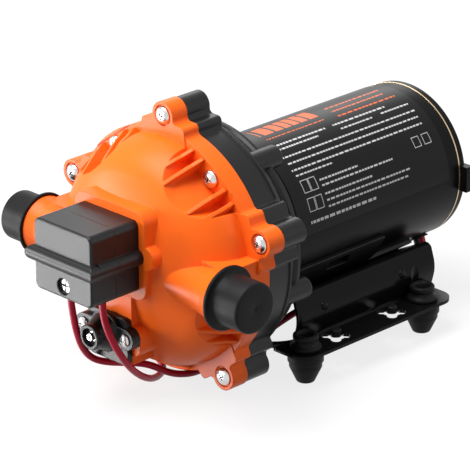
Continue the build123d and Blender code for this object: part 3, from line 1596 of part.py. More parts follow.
def write_leads():
    """The three leads."""
    keep("motor_lead", lead("motor lead", motor_lead_route), Pos(0, 0, 0))
    keep("supply_lead_red", lead("red supply lead", supply_red_route), Pos(0, 0, 0))
    keep("supply_lead_black", lead("black supply lead", supply_black_route), Pos(0, 0, 0))


write_head()
write_drive()
write_switch()
write_bypass()
write_motor()
write_base()
write_leads()
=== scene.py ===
import json
from math import cos, pi, radians, sin

import bpy
from mathutils import Matrix, Vector


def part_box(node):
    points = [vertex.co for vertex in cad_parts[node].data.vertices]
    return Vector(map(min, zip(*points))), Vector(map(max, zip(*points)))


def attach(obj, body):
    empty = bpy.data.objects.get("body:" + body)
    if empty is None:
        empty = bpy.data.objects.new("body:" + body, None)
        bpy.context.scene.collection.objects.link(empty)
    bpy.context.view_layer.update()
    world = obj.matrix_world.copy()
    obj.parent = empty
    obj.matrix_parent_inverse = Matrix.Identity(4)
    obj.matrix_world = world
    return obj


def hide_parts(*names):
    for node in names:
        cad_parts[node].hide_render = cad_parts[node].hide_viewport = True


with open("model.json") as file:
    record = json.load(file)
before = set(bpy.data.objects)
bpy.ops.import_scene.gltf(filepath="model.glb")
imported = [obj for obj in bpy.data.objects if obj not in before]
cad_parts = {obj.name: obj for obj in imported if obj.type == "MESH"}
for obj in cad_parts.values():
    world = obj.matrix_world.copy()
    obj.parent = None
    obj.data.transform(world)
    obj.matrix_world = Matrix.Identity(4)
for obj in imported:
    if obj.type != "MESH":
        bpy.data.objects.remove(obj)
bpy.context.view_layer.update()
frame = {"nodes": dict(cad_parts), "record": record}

bl_info = {
    "name": "Caravan water pump",
    "version": (1, 0, 0),
    "blender": (4, 5, 0),
    "location": "View3D > Sidebar > Water pump",
    "description": "Dresses a twelve volt water pump: caps, screws, feet, leads, label and finishes",
    "category": "Object",
}

MM = 0.001


# Places worked out from the frame

def middle_of(node):
    """Middle of a node's box."""
    low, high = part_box(node)
    return (low + high) / 2


SHAFT = middle_of("motor_can")
LOBES = 5
LOBE_ANGLES = [pi / 2 + 2 * pi / LOBES * index for index in range(LOBES)]
POCKET_ANGLES = [pi / 2 + 2 * pi / LOBES * (index + 1 / 2) for index in range(LOBES)]


def around(angle, radius, y):
    """Point at an angle and a distance from the shaft."""
    return Vector((SHAFT.x + radius * cos(angle), y, SHAFT.z + radius * sin(angle)))


# Sizes and colours that a user would change

def colour_setting(name, description, default):
    """Property that holds a colour."""
    return bpy.props.FloatVectorProperty(
        name=name, description=description, subtype="COLOR", size=3, min=0, max=1, default=default)


def length_setting(name, description, default):
    """Property that holds a length, with its default in millimetres."""
    return bpy.props.FloatProperty(
        name=name, description=description, subtype="DISTANCE", unit="LENGTH", min=0, default=default * MM)


def power_setting(name, description, default):
    """Property that holds the power of a light, with its default in watts."""
    return bpy.props.FloatProperty(name=name, description=description, unit="POWER", min=0, default=default)


class PumpFinishes(bpy.types.PropertyGroup):
    """Colours of the pump, and the rounding of its moulded edges"""

    orange: colour_setting("Housing colour", "Colour of the moulded upper housing", (0.89, 0.13, 0.01))
    black: colour_setting(
        "Black plastic", "Colour of the bell, the switch and the bypass valve", (0.006, 0.006, 0.0065))
    paint: colour_setting(
        "Motor paint", "Colour of the paint on the can and the bracket", (0.004, 0.004, 0.0042))
    rubber: colour_setting("Rubber", "Colour of the caps, the feet and the grommet", (0.007, 0.007, 0.0075))
    red: colour_setting("Red insulation", "Colour of the red leads", (0.46, 0.004, 0.03))
    ink: colour_setting("Label ink", "Colour of the pale rows and frames on the label", (0.52, 0.52, 0.53))
    accent: colour_setting("Label accent", "Colour of the bright rows on the label", (0.6, 0.095, 0.015))
    edge: length_setting("Moulded edge", "Radius of the rounding that shows on moulded edges", 0.7)


class PumpScrewSizes(bpy.types.PropertyGroup):
    """Sizes of the housing's pan-head screws"""

    head_radius: length_setting("Head radius", "Radius of the pan head", 4.0)
    head_height: length_setting("Head height", "Height of the pan head over its seat", 2.6)
    shank_radius: length_setting("Shank radius", "Radius of the screw under its head", 2.0)
    cross_reach: length_setting("Cross reach", "Half the span of the cross at the top of the head", 2.25)
    cross_width: length_setting("Cross width", "Width of the recess's four wings", 0.85)
    cross_depth: length_setting("Cross depth", "Depth of the recess in the middle", 1.9)


class PumpCapSizes(bpy.types.PropertyGroup):
    """Sizes of the transit caps"""

    wall: length_setting("Wall", "Wall of the cap", 0.75)
    skirt: length_setting("Skirt", "Thickness of the flared skirt", 1.7)
    flare: length_setting("Flare", "How far the skirt stands out from the side of the cap", 3.05)
    end: length_setting("End", "Thickness of the closed end", 1.5)
    end_round: length_setting("End rounding", "Radius of the rounded closed end", 1.3)
    gate: length_setting("Gate mark", "Radius of the small gate mark in the end", 0.9)


class PumpFootSizes(bpy.types.PropertyGroup):
    """Sizes of the rubber feet"""

    bore: length_setting("Bore", "Radius of the bolt hole through the foot", 3.0)
    edge: length_setting("Edge", "Rounding of the rubber's edges", 0.18)


class PumpLeadSizes(bpy.types.PropertyGroup):
    """Size of the three leads"""

    diameter: length_setting("Diameter", "Diameter over the insulation", 3.1)


class PumpStudio(bpy.types.PropertyGroup):
    """Camera and lights"""

    distance: length_setting("Camera distance", "Distance from the camera to the pump", 1443.4)
    lens: bpy.props.FloatProperty(
        name="Focal length", description="Camera's focal length in millimetres",
        subtype="DISTANCE_CAMERA", unit="CAMERA", default=252.29, min=0)
    roll: bpy.props.FloatProperty(
        name="Roll", description="Turn of the camera about its own line of sight",
        subtype="ANGLE", unit="ROTATION", default=radians(-0.31))
    ambient: bpy.props.FloatProperty(
        name="Ambient light", description="Strength of the even light from all round",
        default=0.22, min=0)
    key_power: power_setting("Key light", "Power of the large soft light over the pump", 17)
    front_power: power_setting("Front light", "Power of the broad soft light in front of the switch", 14)
    side_power: power_setting("Side light", "Power of the strip light beside the outlet", 2)
    back_power: power_setting("Back light", "Power of the soft light behind the motor", 2.5)
    sheen_power: power_setting("Sheen light", "Power of the light that shows only mirrored in fronts", 8)


# Shader maths written as expressions

class Value:
    """A socket in a node tree. Arithmetic on it adds Math nodes to that tree."""

    def __init__(self, tree, socket):
        self.tree = tree
        self.socket = socket

    def math(self, operation, *others):
        """Math node on this value and others."""
        node = self.tree.nodes.new("ShaderNodeMath")
        node.operation = operation
        for index, item in enumerate((self,) + others):
            if isinstance(item, Value):
                self.tree.links.new(item.socket, node.inputs[index])
            else:
                node.inputs[index].default_value = item
        return Value(self.tree, node.outputs[0])

    def __add__(self, other):
        return self.math("ADD", other)

    __radd__ = __add__

    def __sub__(self, other):
        return self.math("SUBTRACT", other)

    def __rsub__(self, other):
        return (self * -1) + other

    def __mul__(self, other):
        return self.math("MULTIPLY", other)

    __rmul__ = __mul__

    def __truediv__(self, other):
        return self.math("DIVIDE", other)

    def __gt__(self, other):
        return self.math("GREATER_THAN", other)

    def __lt__(self, other):
        return self.math("LESS_THAN", other)

    def fraction(self):
        """What is left of this value after its whole part."""
        return self.math("FRACT")


class Finish:
    """A material in the making: one principled shader and the nodes that feed it."""

    def __init__(self, name, colour, roughness, **constants):
        self.material = bpy.data.materials.new(name)
        self.material.use_nodes = True
        self.tree = self.material.node_tree
        self.shader = self.tree.nodes["Principled BSDF"]
        self.set("Base Color", (*colour, 1))
        self.set("Roughness", roughness)
        for socket, value in constants.items():
            self.set(socket.replace("_", " "), value)
        self.place = self.node("ShaderNodeTexCoord", out="Object")

    def set(self, socket, value):
        """Put a value on the shader's socket, or link what varies into it."""
        if isinstance(value, Value):
            self.tree.links.new(value.socket, self.shader.inputs[socket])
        else:
            self.shader.inputs[socket].default_value = value

    def node(self, kind, settings=None, out=0, **inputs):
        """Any other node: its settings first, then the values or links of its sockets.

        A socket is given by its name, or by the letter i and its number."""
        node = self.tree.nodes.new(kind)
        for name, value in (settings or {}).items():
            setattr(node, name, value)
        for name, value in inputs.items():
            number = name[1:]
            socket = node.inputs[int(number) if number.isdigit() else name]
            if isinstance(value, Value):
                self.tree.links.new(value.socket, socket)
            else:
                socket.default_value = value
        return Value(self.tree, node.outputs[out])

    def noise(self, scale, detail=2.0, vector=None):
        """Noise between 0 and 1 over the piece."""
        return self.node("ShaderNodeTexNoise", Vector=vector or self.place, Scale=scale, Detail=detail)

    def mix(self, factor, first, second):
        """Colour between two colours or links."""
        first = first if isinstance(first, Value) else (*first, 1)
        second = second if isinstance(second, Value) else (*second, 1)
        return self.node("ShaderNodeMix", {"data_type": "RGBA"}, out=2, i0=factor, i6=first, i7=second)

    def vary_gloss(self, noise, lowest, spread):
        """Roughness that runs over a spread with the noise."""
        self.set("Roughness", noise * spread + lowest)

    def darken(self, colour, shade, share):
        """Colour that goes down to a shade of itself by a share that varies."""
        self.set("Base Color", self.mix(share, colour, [channel * shade for channel in colour]))

    def relief(self, height, distance, edge=0.0):
        """Bump from a height, on edges that look rounded by the given radius."""
        inputs = {"Height": height, "Distance": distance, "Strength": 1.0}
        if edge:
            inputs["Normal"] = self.node("ShaderNodeBevel", {"samples": 6}, Radius=edge)
        self.set("Normal", self.node("ShaderNodeBump", **inputs))
        return self

    def axes(self):
        """The three coordinates of the place on the piece."""
        node = self.tree.nodes.new("ShaderNodeSeparateXYZ")
        self.tree.links.new(self.place.socket, node.inputs[0])
        return [Value(self.tree, output) for output in node.outputs]


def chosen():
    """The colours on this scene."""
    return bpy.context.scene.pump_finishes


def moulded(name, colour, roughness, edge, grain=2600.0, depth=0.02 * MM):
    """Moulded plastic: fine grain, slow changes of gloss, and edges that look rounded."""
    finish = Finish(name, colour, roughness)
    finish.vary_gloss(finish.noise(28.0, 3.0), roughness - 0.05, 0.1)
    finish.darken(colour, 0.86, finish.noise(60.0, 4.0) * 0.6)
    return finish.relief(finish.noise(grain, 1.0), depth, edge)


def orange_plastic():
    """Satin orange moulding with a soft sheen."""
    look = chosen()
    finish = moulded("orange_moulding", tuple(look.orange), 0.36, look.edge, grain=1900.0, depth=0.012 * MM)
    finish.set("Specular IOR Level", 0.16)
    return finish.material


def black_plastic():
    """Black glass-filled moulding, a little grainy."""
    look = chosen()
    finish = moulded("black_moulding", tuple(look.black), 0.33, look.edge, grain=1500.0, depth=0.03 * MM)
    finish.set("Specular IOR Level", 0.24)
    return finish.material


def pale_plastic():
    """Natural moulding inside the pump."""
    return moulded("natural_moulding", (0.74, 0.72, 0.66), 0.4, edge=0.3 * MM).material


def rubber():
    """Soft black rubber with a dull bloom."""
    look = chosen()
    finish = moulded("black_rubber", tuple(look.rubber), 0.47, edge=0.5 * MM, grain=1100.0, depth=0.02 * MM)
    finish.set("Specular IOR Level", 0.1)
    return finish.material


def seal_rubber():
    """Grey rubber of the seals, valves and diaphragm."""
    return moulded("seal_rubber", (0.075, 0.075, 0.08), 0.6, edge=0.3 * MM).material


def painted(name, roughness, peel, depth):
    """Black paint with an orange-peel skin and worn gloss."""
    look = chosen()
    finish = Finish(name, tuple(look.paint), roughness, Specular_IOR_Level=0.08)
    finish.vary_gloss(finish.noise(35.0, 4.0), roughness - 0.04, 0.1)
    return finish.relief(finish.noise(peel, 1.5), depth, edge=0.35 * MM).material


def motor_paint():
    """Semi-gloss paint on the can."""
    return painted("can_paint", roughness=0.3, peel=420.0, depth=0.014 * MM)


def bracket_paint():
    """Gloss paint on the folded bracket."""
    return painted("bracket_paint", roughness=0.24, peel=330.0, depth=0.02 * MM)


def metal(name, colour, roughness):
    """Bare metal with fine scratches and slow changes of gloss."""
    finish = Finish(name, colour, roughness, Metallic=1.0)
    x, y, z = finish.axes()
    stretched = finish.node("ShaderNodeCombineXYZ", X=x * 0.12, Y=y, Z=z)
    lines = finish.noise(1600.0, 2.0, stretched)
    finish.vary_gloss(lines, roughness - 0.05, 0.14)
    finish.darken(colour, 0.8, finish.noise(140.0, 3.0) * 0.5)
    return finish.relief(lines, 0.004 * MM, edge=0.12 * MM).material


# Rows on the label: upper and lower level in degrees round the shaft, start and end along the shaft in
# millimetres, and the mean length of a bar
LABEL_ACCENT = [
    (102.0, 87.0, -21.0, 17.0, 6.4), (81.6, 80.5, -21.0, 15.0, 2.4), (94.8, 93.0, 24.0, 59.0, 2.6),
    (87.4, 85.8, 23.5, 57.0, 2.2), (80.0, 78.4, 23.0, 60.0, 2.9),
]
LABEL_INK = [
    (72.9, 71.3, -24.0, 10.0, 2.3), (68.4, 66.9, -24.0, 3.0, 1.9), (72.9, 71.3, 15.0, 48.5, 2.6),
    (67.9, 66.5, 43.0, 61.0, 1.8), (67.3, 65.9, 17.0, 37.0, 2.0), (60.6, 59.3, -23.5, 61.0, 2.4),
    (54.9, 53.6, -23.5, 60.0, 2.1), (49.1, 47.8, -24.0, 59.5, 2.5), (44.7, 43.5, -23.5, -0.7, 2.0),
    (36.5, 35.2, -12.5, 12.0, 1.8), (32.4, 31.1, -12.0, 33.0, 2.2), (26.3, 25.0, -12.0, 18.0, 1.9),
    (21.7, 20.4, -12.0, 41.4, 2.3), (17.2, 15.9, -11.8, 39.6, 2.1), (10.9, 8.9, -23.8, 17.4, 2.9),
]
# Frames on the label: upper and lower level, start and end
LABEL_BOXES = [
    (40.0, 30.6, -23.2, -18.9), (40.0, 30.6, -18.6, -14.3), (26.8, 17.2, -23.4, -19.1),
    (26.8, 17.2, -18.8, -14.3), (41.0, 33.0, 48.5, 53.0), (41.0, 33.0, 55.0, 59.5),
]
LABEL_PAPER = (0.006, 0.006, 0.0062)
# The gap's share of a bar's length, and how the bars' length sways along a row
BAR_GAP = 0.24
BAR_WAVE = 0.9
BAR_SWAY = 0.35
# Thickness of the frames' lines, in degrees and in millimetres
FRAME_LEVEL = 0.5
FRAME_LINE = 0.3


def summed(values):
    """Sum of at least one value."""
    total = values[0]
    for value in values[1:]:
        total = total + value
    return total


def label_film():
    """Charcoal film with plain bars: rows in the accent colour and in pale ink, and empty frames."""
    look = chosen()
    finish = Finish("label_film", LABEL_PAPER, 0.3, Specular_IOR_Level=0.12)
    x, y, z = finish.axes()
    level = (z - SHAFT.z).math("ARCTAN2", x - SHAFT.x) / radians(1)
    along = y / MM

    def between(value, first, last):
        return (value > first) * (value < last)

    def patch(high, low, start, end):
        return between(level, low, high) * between(along, start, end)

    def row(high, low, start, end, bar):
        """Bars of uneven length between two levels."""
        phase = (along - start) / bar + (along * (BAR_WAVE / bar)).math("SINE") * BAR_SWAY
        return patch(high, low, start, end) * (phase.fraction() > BAR_GAP)

    def outline(high, low, start, end):
        """Empty frame: a patch less the patch inside it."""
        inside = patch(high - FRAME_LEVEL, low + FRAME_LEVEL, start + FRAME_LINE, end - FRAME_LINE)
        return patch(high, low, start, end) - inside

    ink = summed([row(*entry) for entry in LABEL_INK]) + summed([outline(*entry) for entry in LABEL_BOXES])
    colour = finish.mix(ink, LABEL_PAPER, tuple(look.ink))
    accent = summed([row(*entry) for entry in LABEL_ACCENT])
    finish.set("Base Color", finish.mix(accent, colour, tuple(look.accent)))
    finish.set("Roughness", finish.noise(40.0, 3.0) * 0.08 + (0.27 + ink * 0.15))
    return finish.relief(finish.noise(700.0, 1.0), 0.006 * MM).material


def insulation(name, colour):
    """Glossy insulation of a lead."""
    finish = Finish(name, colour, 0.34, Specular_IOR_Level=0.2)
    finish.vary_gloss(finish.noise(90.0, 2.0), 0.28, 0.12)
    finish.darken(colour, 0.7, finish.noise(120.0, 2.0))
    return finish.relief(finish.noise(900.0, 1.0), 0.01 * MM).material


def red_insulation():
    """Red insulation of the motor lead and one supply lead."""
    return insulation("red_insulation", tuple(chosen().red))


def black_insulation():
    """Black insulation of the other supply lead."""
    return insulation("black_insulation", (0.014, 0.014, 0.015))


# Finishes of the record's slots: bare metals by name, colour and roughness, and all others
METALS = {
    "screw_steel": ("screw_steel", (0.66, 0.655, 0.65), 0.2),
    "steel": ("ground_steel", (0.5, 0.5, 0.51), 0.25),
    "spring_steel": ("spring_wire", (0.45, 0.45, 0.46), 0.3),
    "pale_ring": ("pale_ring", (0.7, 0.52, 0.33), 0.25),
    "magnet": ("ferrite", (0.08, 0.08, 0.085), 0.55),
    "iron": ("laminated_iron", (0.27, 0.27, 0.28), 0.4),
    "copper": ("enamelled_copper", (0.72, 0.3, 0.12), 0.3),
    "brass": ("brass", (0.7, 0.5, 0.2), 0.28),
    "carbon": ("carbon", (0.03, 0.03, 0.032), 0.6),
    "die_cast": ("die_cast", (0.5, 0.51, 0.52), 0.4),
}
FINISHES = {
    "orange_plastic": orange_plastic,
    "black_plastic": black_plastic,
    "clear_plastic": pale_plastic,
    "rubber": rubber,
    "seal_rubber": seal_rubber,
    "motor_paint": motor_paint,
    "bracket_paint": bracket_paint,
    "label_film": label_film,
    "red_wire": red_insulation,
    "black_wire": black_insulation,
}
made = {}


def finish_of(slot):
    """The material of one of the record's slots, made once."""
    if slot not in made:
        made[slot] = metal(*METALS[slot]) if slot in METALS else FINISHES[slot]()
    return made[slot]


def dress(piece, slot):
    """Give a piece the material of a slot."""
    piece.data.materials.clear()
    piece.data.materials.append(finish_of(slot))


# Modelling helpers

def start_fresh():
    """Leave edit mode with nothing selected."""
    if bpy.context.object and bpy.context.object.mode != "OBJECT":
        bpy.ops.object.mode_set(mode="OBJECT")
    bpy.ops.object.select_all(action="DESELECT")


def choose(piece):
    """Make a piece the only one selected, and the active one."""
    start_fresh()
    piece.select_set(True)
    bpy.context.view_layer.objects.active = piece


def turned(name, stations, sides=64, bored=False):
    """Piece turned on a lathe, standing on the XY plane: stations hold radius and height.

    A bored piece's stations run up the outside and back down the bore to the first one."""
    start_fresh()
    radius, height = stations[0]
    fill = "NOTHING" if bored else "NGON"
    bpy.ops.mesh.primitive_circle_add(vertices=sides, radius=radius, fill_type=fill, location=(0, 0, height))
    piece = bpy.context.object
    piece.name = name
    bpy.ops.object.mode_set(mode="EDIT")
    bpy.ops.mesh.select_all(action="SELECT")
    for next_radius, next_height in stations[1:]:
        move = {"value": (0, 0, next_height - height)}
        if bored:
            bpy.ops.mesh.extrude_edges_move(TRANSFORM_OT_translate=move)
        else:
            bpy.ops.mesh.extrude_region_move(TRANSFORM_OT_translate=move)
        scale = next_radius / radius
        bpy.ops.transform.resize(value=(scale, scale, 1))
        radius, height = next_radius, next_height
    bpy.ops.mesh.select_all(action="SELECT")
    bpy.ops.mesh.remove_doubles(threshold=0.001 * MM)
    bpy.ops.mesh.normals_make_consistent(inside=False)
    bpy.ops.object.mode_set(mode="OBJECT")
    bpy.ops.object.transform_apply(location=True, rotation=True, scale=True)
    return piece


def rounded(piece, width):
    """Round the sharp edges with a bevel and shade the rest smooth."""
    choose(piece)
    bevel = piece.modifiers.new("Round", "BEVEL")
    bevel.width = width
    bevel.segments = 2
    bevel.limit_method = "ANGLE"
    bevel.angle_limit = radians(30)
    bevel.use_clamp_overlap = True
    bpy.ops.object.modifier_apply(modifier=bevel.name)
    bpy.ops.object.shade_smooth_by_angle(angle=radians(40))
    return piece


def cut(piece, tool):
    """Cut a tool's shape out of a piece and throw the tool away."""
    choose(piece)
    boolean = piece.modifiers.new("Cut", "BOOLEAN")
    boolean.operation = "DIFFERENCE"
    boolean.solver = "EXACT"
    boolean.object = tool
    bpy.ops.object.modifier_apply(modifier=boolean.name)
    bpy.data.objects.remove(tool, do_unlink=True)
    return piece


def set_down(piece, matrix):
    """Move a piece to its place, and keep the place in its mesh."""
    choose(piece)
    piece.matrix_world = matrix
    bpy.ops.object.transform_apply(location=True, rotation=True, scale=True)
    return piece


def copy_of(piece, name):
    """Copy of a piece with its own mesh."""
    other = piece.copy()
    other.data = piece.data.copy()
    other.name = name
    bpy.context.scene.collection.objects.link(other)
    return other


def facing(point, direction):
    """Placement that stands a piece's Z axis along a direction at a point."""
    return Matrix.Translation(point) @ Vector(direction).to_track_quat("Z", "Y").to_matrix().to_4x4()


# Operators: one for each kind of piece

# Faces of a turned piece that meet at a larger angle stay crisp
CRISP = radians(35)
# Steps of the round on a cap's end and on a screw's head
CAP_STEPS = 5
HEAD_STEPS = 8
# Size of the cross recess at its foot against that at its top
RECESS_TAPER = (0.42, 0.7, 1)
# How far the first screw is turned, and each one after it
FIRST_TURN = radians(20)
NEXT_TURN = radians(37)


class PUMP_OT_finish_solids(bpy.types.Operator):
    """Give every solid of the pump its finish"""

    bl_idname = "pump.finish_solids"
    bl_label = "Finish the solids"

    def execute(self, context):
        for part in frame["record"]["subparts"]:
            node = frame["nodes"][part["node"]]
            dress(node, part["material_slot"])
        return {"FINISHED"}


def cap_profile(sizes, length, outer, skirt_radius):
    """Stations of a cap from its skirt to its closed end, with a shallow gate mark."""
    turn = sizes.end_round
    rim = 0.4 * MM
    neck = 0.3 * MM
    profile = [(outer - sizes.wall, 0), (skirt_radius - rim, 0), (skirt_radius, rim)]
    profile += [(skirt_radius, sizes.skirt * 0.7), (skirt_radius - 0.5 * MM, sizes.skirt)]
    profile += [(outer + 4 * neck, sizes.skirt * 1.05), (outer + neck, sizes.skirt * 1.35)]
    profile += [(outer, sizes.skirt * 2), (outer, length / 2)]
    for step in range(CAP_STEPS + 1):
        angle = pi / 2 * step / CAP_STEPS
        profile.append((outer - turn + turn * cos(angle), length - turn + turn * sin(angle)))
    profile += [(outer / 2, length), (sizes.gate * 1.5, length), (sizes.gate, length - 0.1 * MM)]
    profile += [(sizes.gate * 0.8, length - 0.4 * MM), (sizes.gate * 0.2, length - 0.45 * MM)]
    return profile


def port_cap(sizes, node, side):
    """One cap over its spigot, on the side where x is positive or negative."""
    low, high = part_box(node)
    length = high.x - low.x
    skirt_radius = (high.z - low.z) / 2
    outer = skirt_radius - sizes.flare
    inner = outer - sizes.wall
    cap = turned(node + "_turned", cap_profile(sizes, length, outer, skirt_radius))
    cut(cap, turned("hollow", [(inner, -MM), (inner, length - sizes.end)]))
    choose(cap)
    bpy.ops.object.shade_smooth_by_angle(angle=CRISP)
    middle = (low + high) / 2
    foot = Vector((low.x if side > 0 else high.x, middle.y, middle.z))
    return set_down(cap, facing(foot, (side, 0, 0)))


class PUMP_OT_port_caps(bpy.types.Operator):
    """Turn the two transit caps over the spigots"""

    bl_idname = "pump.port_caps"
    bl_label = "Port caps"

    def execute(self, context):
        for node, body, side in (("outlet_cap", "outlet_plug", 1), ("inlet_cap", "inlet_plug", -1)):
            cap = port_cap(context.scene.pump_cap, node, side)
            dress(cap, "rubber")
            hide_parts(node)
            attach(cap, body)
        return {"FINISHED"}


def head_profile(sizes):
    """Stations of a pan head on a short shank, up to the flat of its crown."""
    seat = -0.01 * MM
    rim = 0.85 * MM
    profile = [(sizes.shank_radius, -6 * MM), (sizes.shank_radius, seat)]
    profile += [(sizes.head_radius * 0.97, seat), (sizes.head_radius, 0.15 * MM), (sizes.head_radius, rim)]
    for step in range(1, HEAD_STEPS):
        angle = pi / 2 * step / HEAD_STEPS
        profile.append((sizes.head_radius * cos(angle), rim + (sizes.head_height - rim) * sin(angle)))
    profile.append((sizes.head_radius * 0.06, sizes.head_height))
    return profile


def recess_wing(sizes):
    """Two wings of the cross recess, drawn in towards their foot."""
    start_fresh()
    bpy.ops.mesh.primitive_cube_add(size=1, location=(0, 0, sizes.head_height))
    wing = bpy.context.object
    wing.scale = (2 * sizes.cross_reach, sizes.cross_width, 2 * sizes.cross_depth)
    bpy.ops.object.transform_apply(location=True, rotation=True, scale=True)
    bpy.ops.object.mode_set(mode="EDIT")
    bpy.ops.mesh.select_mode(type="VERT")
    bpy.ops.mesh.select_all(action="DESELECT")
    bpy.ops.object.mode_set(mode="OBJECT")
    for vertex in wing.data.vertices:
        vertex.select = vertex.co.z < sizes.head_height
    bpy.ops.object.mode_set(mode="EDIT")
    bpy.ops.transform.resize(value=RECESS_TAPER)
    bpy.ops.object.mode_set(mode="OBJECT")
    return wing


def screw_blank(sizes, name):
    """Pan-head screw standing on its head's underside, with a tapered cross recess."""
    screw = turned(name, head_profile(sizes), 40)
    for angle in (0, pi / 2):
        cut(screw, set_down(recess_wing(sizes), Matrix.Rotation(angle, 4, "Z")))
    choose(screw)
    bpy.ops.object.shade_smooth_by_angle(angle=CRISP)
    return screw


class PUMP_OT_screws(bpy.types.Operator):
    """Model one pan-head screw and set its copies in the lobes and the pockets"""

    bl_idname = "pump.screws"
    bl_label = "Housing screws"

    def execute(self, context):
        sizes = context.scene.pump_screw
        blank = screw_blank(sizes, "screw_blank")
        for node, angles in (("housing_screws", LOBE_ANGLES), ("chamber_screws", POCKET_ANGLES)):
            low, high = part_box(node)
            seat = low.y + sizes.head_height
            if node == "housing_screws":
                circle = high.z - SHAFT.z - sizes.head_radius
            else:
                circle = SHAFT.z - low.z - sizes.head_radius
            for index, angle in enumerate(angles):
                screw = copy_of(blank, f"{node}_{index + 1}")
                turn = Matrix.Rotation(FIRST_TURN + NEXT_TURN * index, 4, "Z")
                set_down(screw, facing(around(angle, circle, seat), (0, -1, 0)) @ turn)
                dress(screw, "screw_steel")
                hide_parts(node)
                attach(screw, "pump")
        bpy.data.objects.remove(blank, do_unlink=True)
        return {"FINISHED"}


# Outside of a rubber foot in millimetres: radius and height, from the ground over the collar to the bore
FOOT_OUTSIDE = [
    (3.75, 0), (4.1, 0.3), (4.45, 1.0), (7.2, 6.95), (7.3, 7.3), (7.3, 9.6), (7.9, 9.7), (8.0, 9.9),
    (8.0, 13.98), (5.0, 13.98), (5.0, 15.62), (7.0, 15.62), (7.0, 16.9), (6.6, 17.45), (6.0, 17.6),
    (5.4, 18.6), (5.2, 19.9), (5.6, 20.0), (5.7, 20.2), (5.7, 21.9), (5.3, 22.4), (4.1, 22.4), (3.5, 22.1),
]
FOOT_REACH = max(radius for radius, height in FOOT_OUTSIDE) * MM
FOOT_BORE_TOP = 21.2 * MM


def foot_profile(sizes):
    """Stations of one rubber foot: up the outside, over the collar and down the bore."""
    outside = [(radius * MM, height * MM) for radius, height in FOOT_OUTSIDE]
    return [(sizes.bore, 0)] + outside + [(sizes.bore, FOOT_BORE_TOP), (sizes.bore, 0)]


class PUMP_OT_feet(bpy.types.Operator):
    """Turn the rubber feet and set them in the bracket"""

    bl_idname = "pump.feet"
    bl_label = "Rubber feet"

    def execute(self, context):
        sizes = context.scene.pump_foot
        blank = rounded(turned("foot_blank", foot_profile(sizes), 56, bored=True), sizes.edge)
        low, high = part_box("rubber_feet")
        spots = [(x, y) for x in (low.x + FOOT_REACH, high.x - FOOT_REACH)
                 for y in (low.y + FOOT_REACH, high.y - FOOT_REACH)]
        for index, (x, y) in enumerate(spots):
            foot = copy_of(blank, f"rubber_foot_{index + 1}")
            set_down(foot, Matrix.Translation((x, y, 0)))
            dress(foot, "rubber")
            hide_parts("rubber_feet")
            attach(foot, "pump")
        bpy.data.objects.remove(blank, do_unlink=True)
        return {"FINISHED"}


# Routes of the leads in millimetres
MOTOR_LEAD = [
    (-10.0, -123.7, 57.4), (-9.9, -123.8, 48.4), (-8.2, -123.9, 40.2), (-8.2, -122.2, 32.6),
    (-8.8, -118.9, 24.4), (-8.6, -113.8, 17.6), (-5.2, -107.6, 14.8), (1.0, -101.0, 14.6),
    (6.8, -93.8, 13.4), (10.4, -85.0, 7.0), (12.0, -74.0, 3.8), (11.0, -62.0, 3.4),
    (10.5, -48.0, 4.6), (13.0, -33.0, 8.8), (17.5, -17.0, 16.2), (19.0, 4.0, 19.6),
    (17.6, 22.0, 19.0), (22.4, 40.0, 14.8), (25.0, 56.2, 15.6), (23.36, 65.5, 24.14),
    (18.11, 65.5, 33.24),
]
SUPPLY_RED = [
    (10.0, -123.7, 57.4), (10.1, -123.8, 49.2), (13.0, -124.2, 41.8), (15.6, -121.6, 33.0),
    (15.2, -115.4, 23.4), (12.2, -106.0, 14.2), (9.0, -96.0, 7.6), (3.0, -84.6, 3.4),
    (-4.5, -74.6, 1.8), (-16.0, -68.0, 1.6), (-29.0, -66.4, 1.55), (-42.6, -62.0, 1.55),
    (-54.6, -53.0, 1.55), (-62.4, -39.4, 1.55), (-64.4, -24.0, 1.55), (-62.6, -8.0, 1.55),
    (-65.0, 8.0, 1.55), (-63.0, 24.0, 1.55), (-64.6, 37.0, 1.55),
]
SUPPLY_BLACK = [
    (14.99, 65.5, 31.44), (20.19, 65.5, 22.43), (21.5, 58.2, 14.4), (18.4, 45.0, 10.4),
    (14.0, 29.0, 11.8), (16.4, 14.0, 8.6), (20.4, 1.0, 3.8), (20.0, -14.0, 2.0), (11.0, -26.6, 1.6),
    (-6.0, -31.0, 1.55), (-21.0, -40.5, 1.55), (-35.0, -51.2, 1.55), (-48.6, -48.2, 1.55),
    (-56.0, -36.0, 1.55), (-57.8, -18.0, 1.55), (-56.6, 0.0, 1.55), (-58.6, 17.0, 1.55),
]


def laid(name, route, diameter):
    """Round wire laid along a route."""
    curve = bpy.data.curves.new(name, "CURVE")
    curve.dimensions = "3D"
    spline = curve.splines.new("NURBS")
    spline.points.add(len(route) - 1)
    for point, place in zip(spline.points, route):
        point.co = (*(Vector(place) * MM), 1)
    spline.order_u = 3
    spline.use_endpoint_u = True
    spline.resolution_u = 12
    curve.bevel_depth = diameter / 2
    curve.bevel_resolution = 6
    curve.use_fill_caps = True
    lead = bpy.data.objects.new(name, curve)
    bpy.context.scene.collection.objects.link(lead)
    return lead


class PUMP_OT_leads(bpy.types.Operator):
    """Lay the three leads along their routes"""

    bl_idname = "pump.leads"
    bl_label = "Leads"

    def execute(self, context):
        diameter = context.scene.pump_lead.diameter
        leads = (("motor_lead", MOTOR_LEAD, "red_wire", 0.2470, "object"),
                 ("supply_lead_red", SUPPLY_RED, "red_wire", 0.2359, "bare"),
                 ("supply_lead_black", SUPPLY_BLACK, "black_wire", 0.2427, "bare"))
        for node, route, slot, length, far_end in leads:
            lead = laid(node + "_laid", route, diameter)
            lead.data.materials.append(finish_of(slot))
            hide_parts(node)
            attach(lead, "pump")
        return {"FINISHED"}


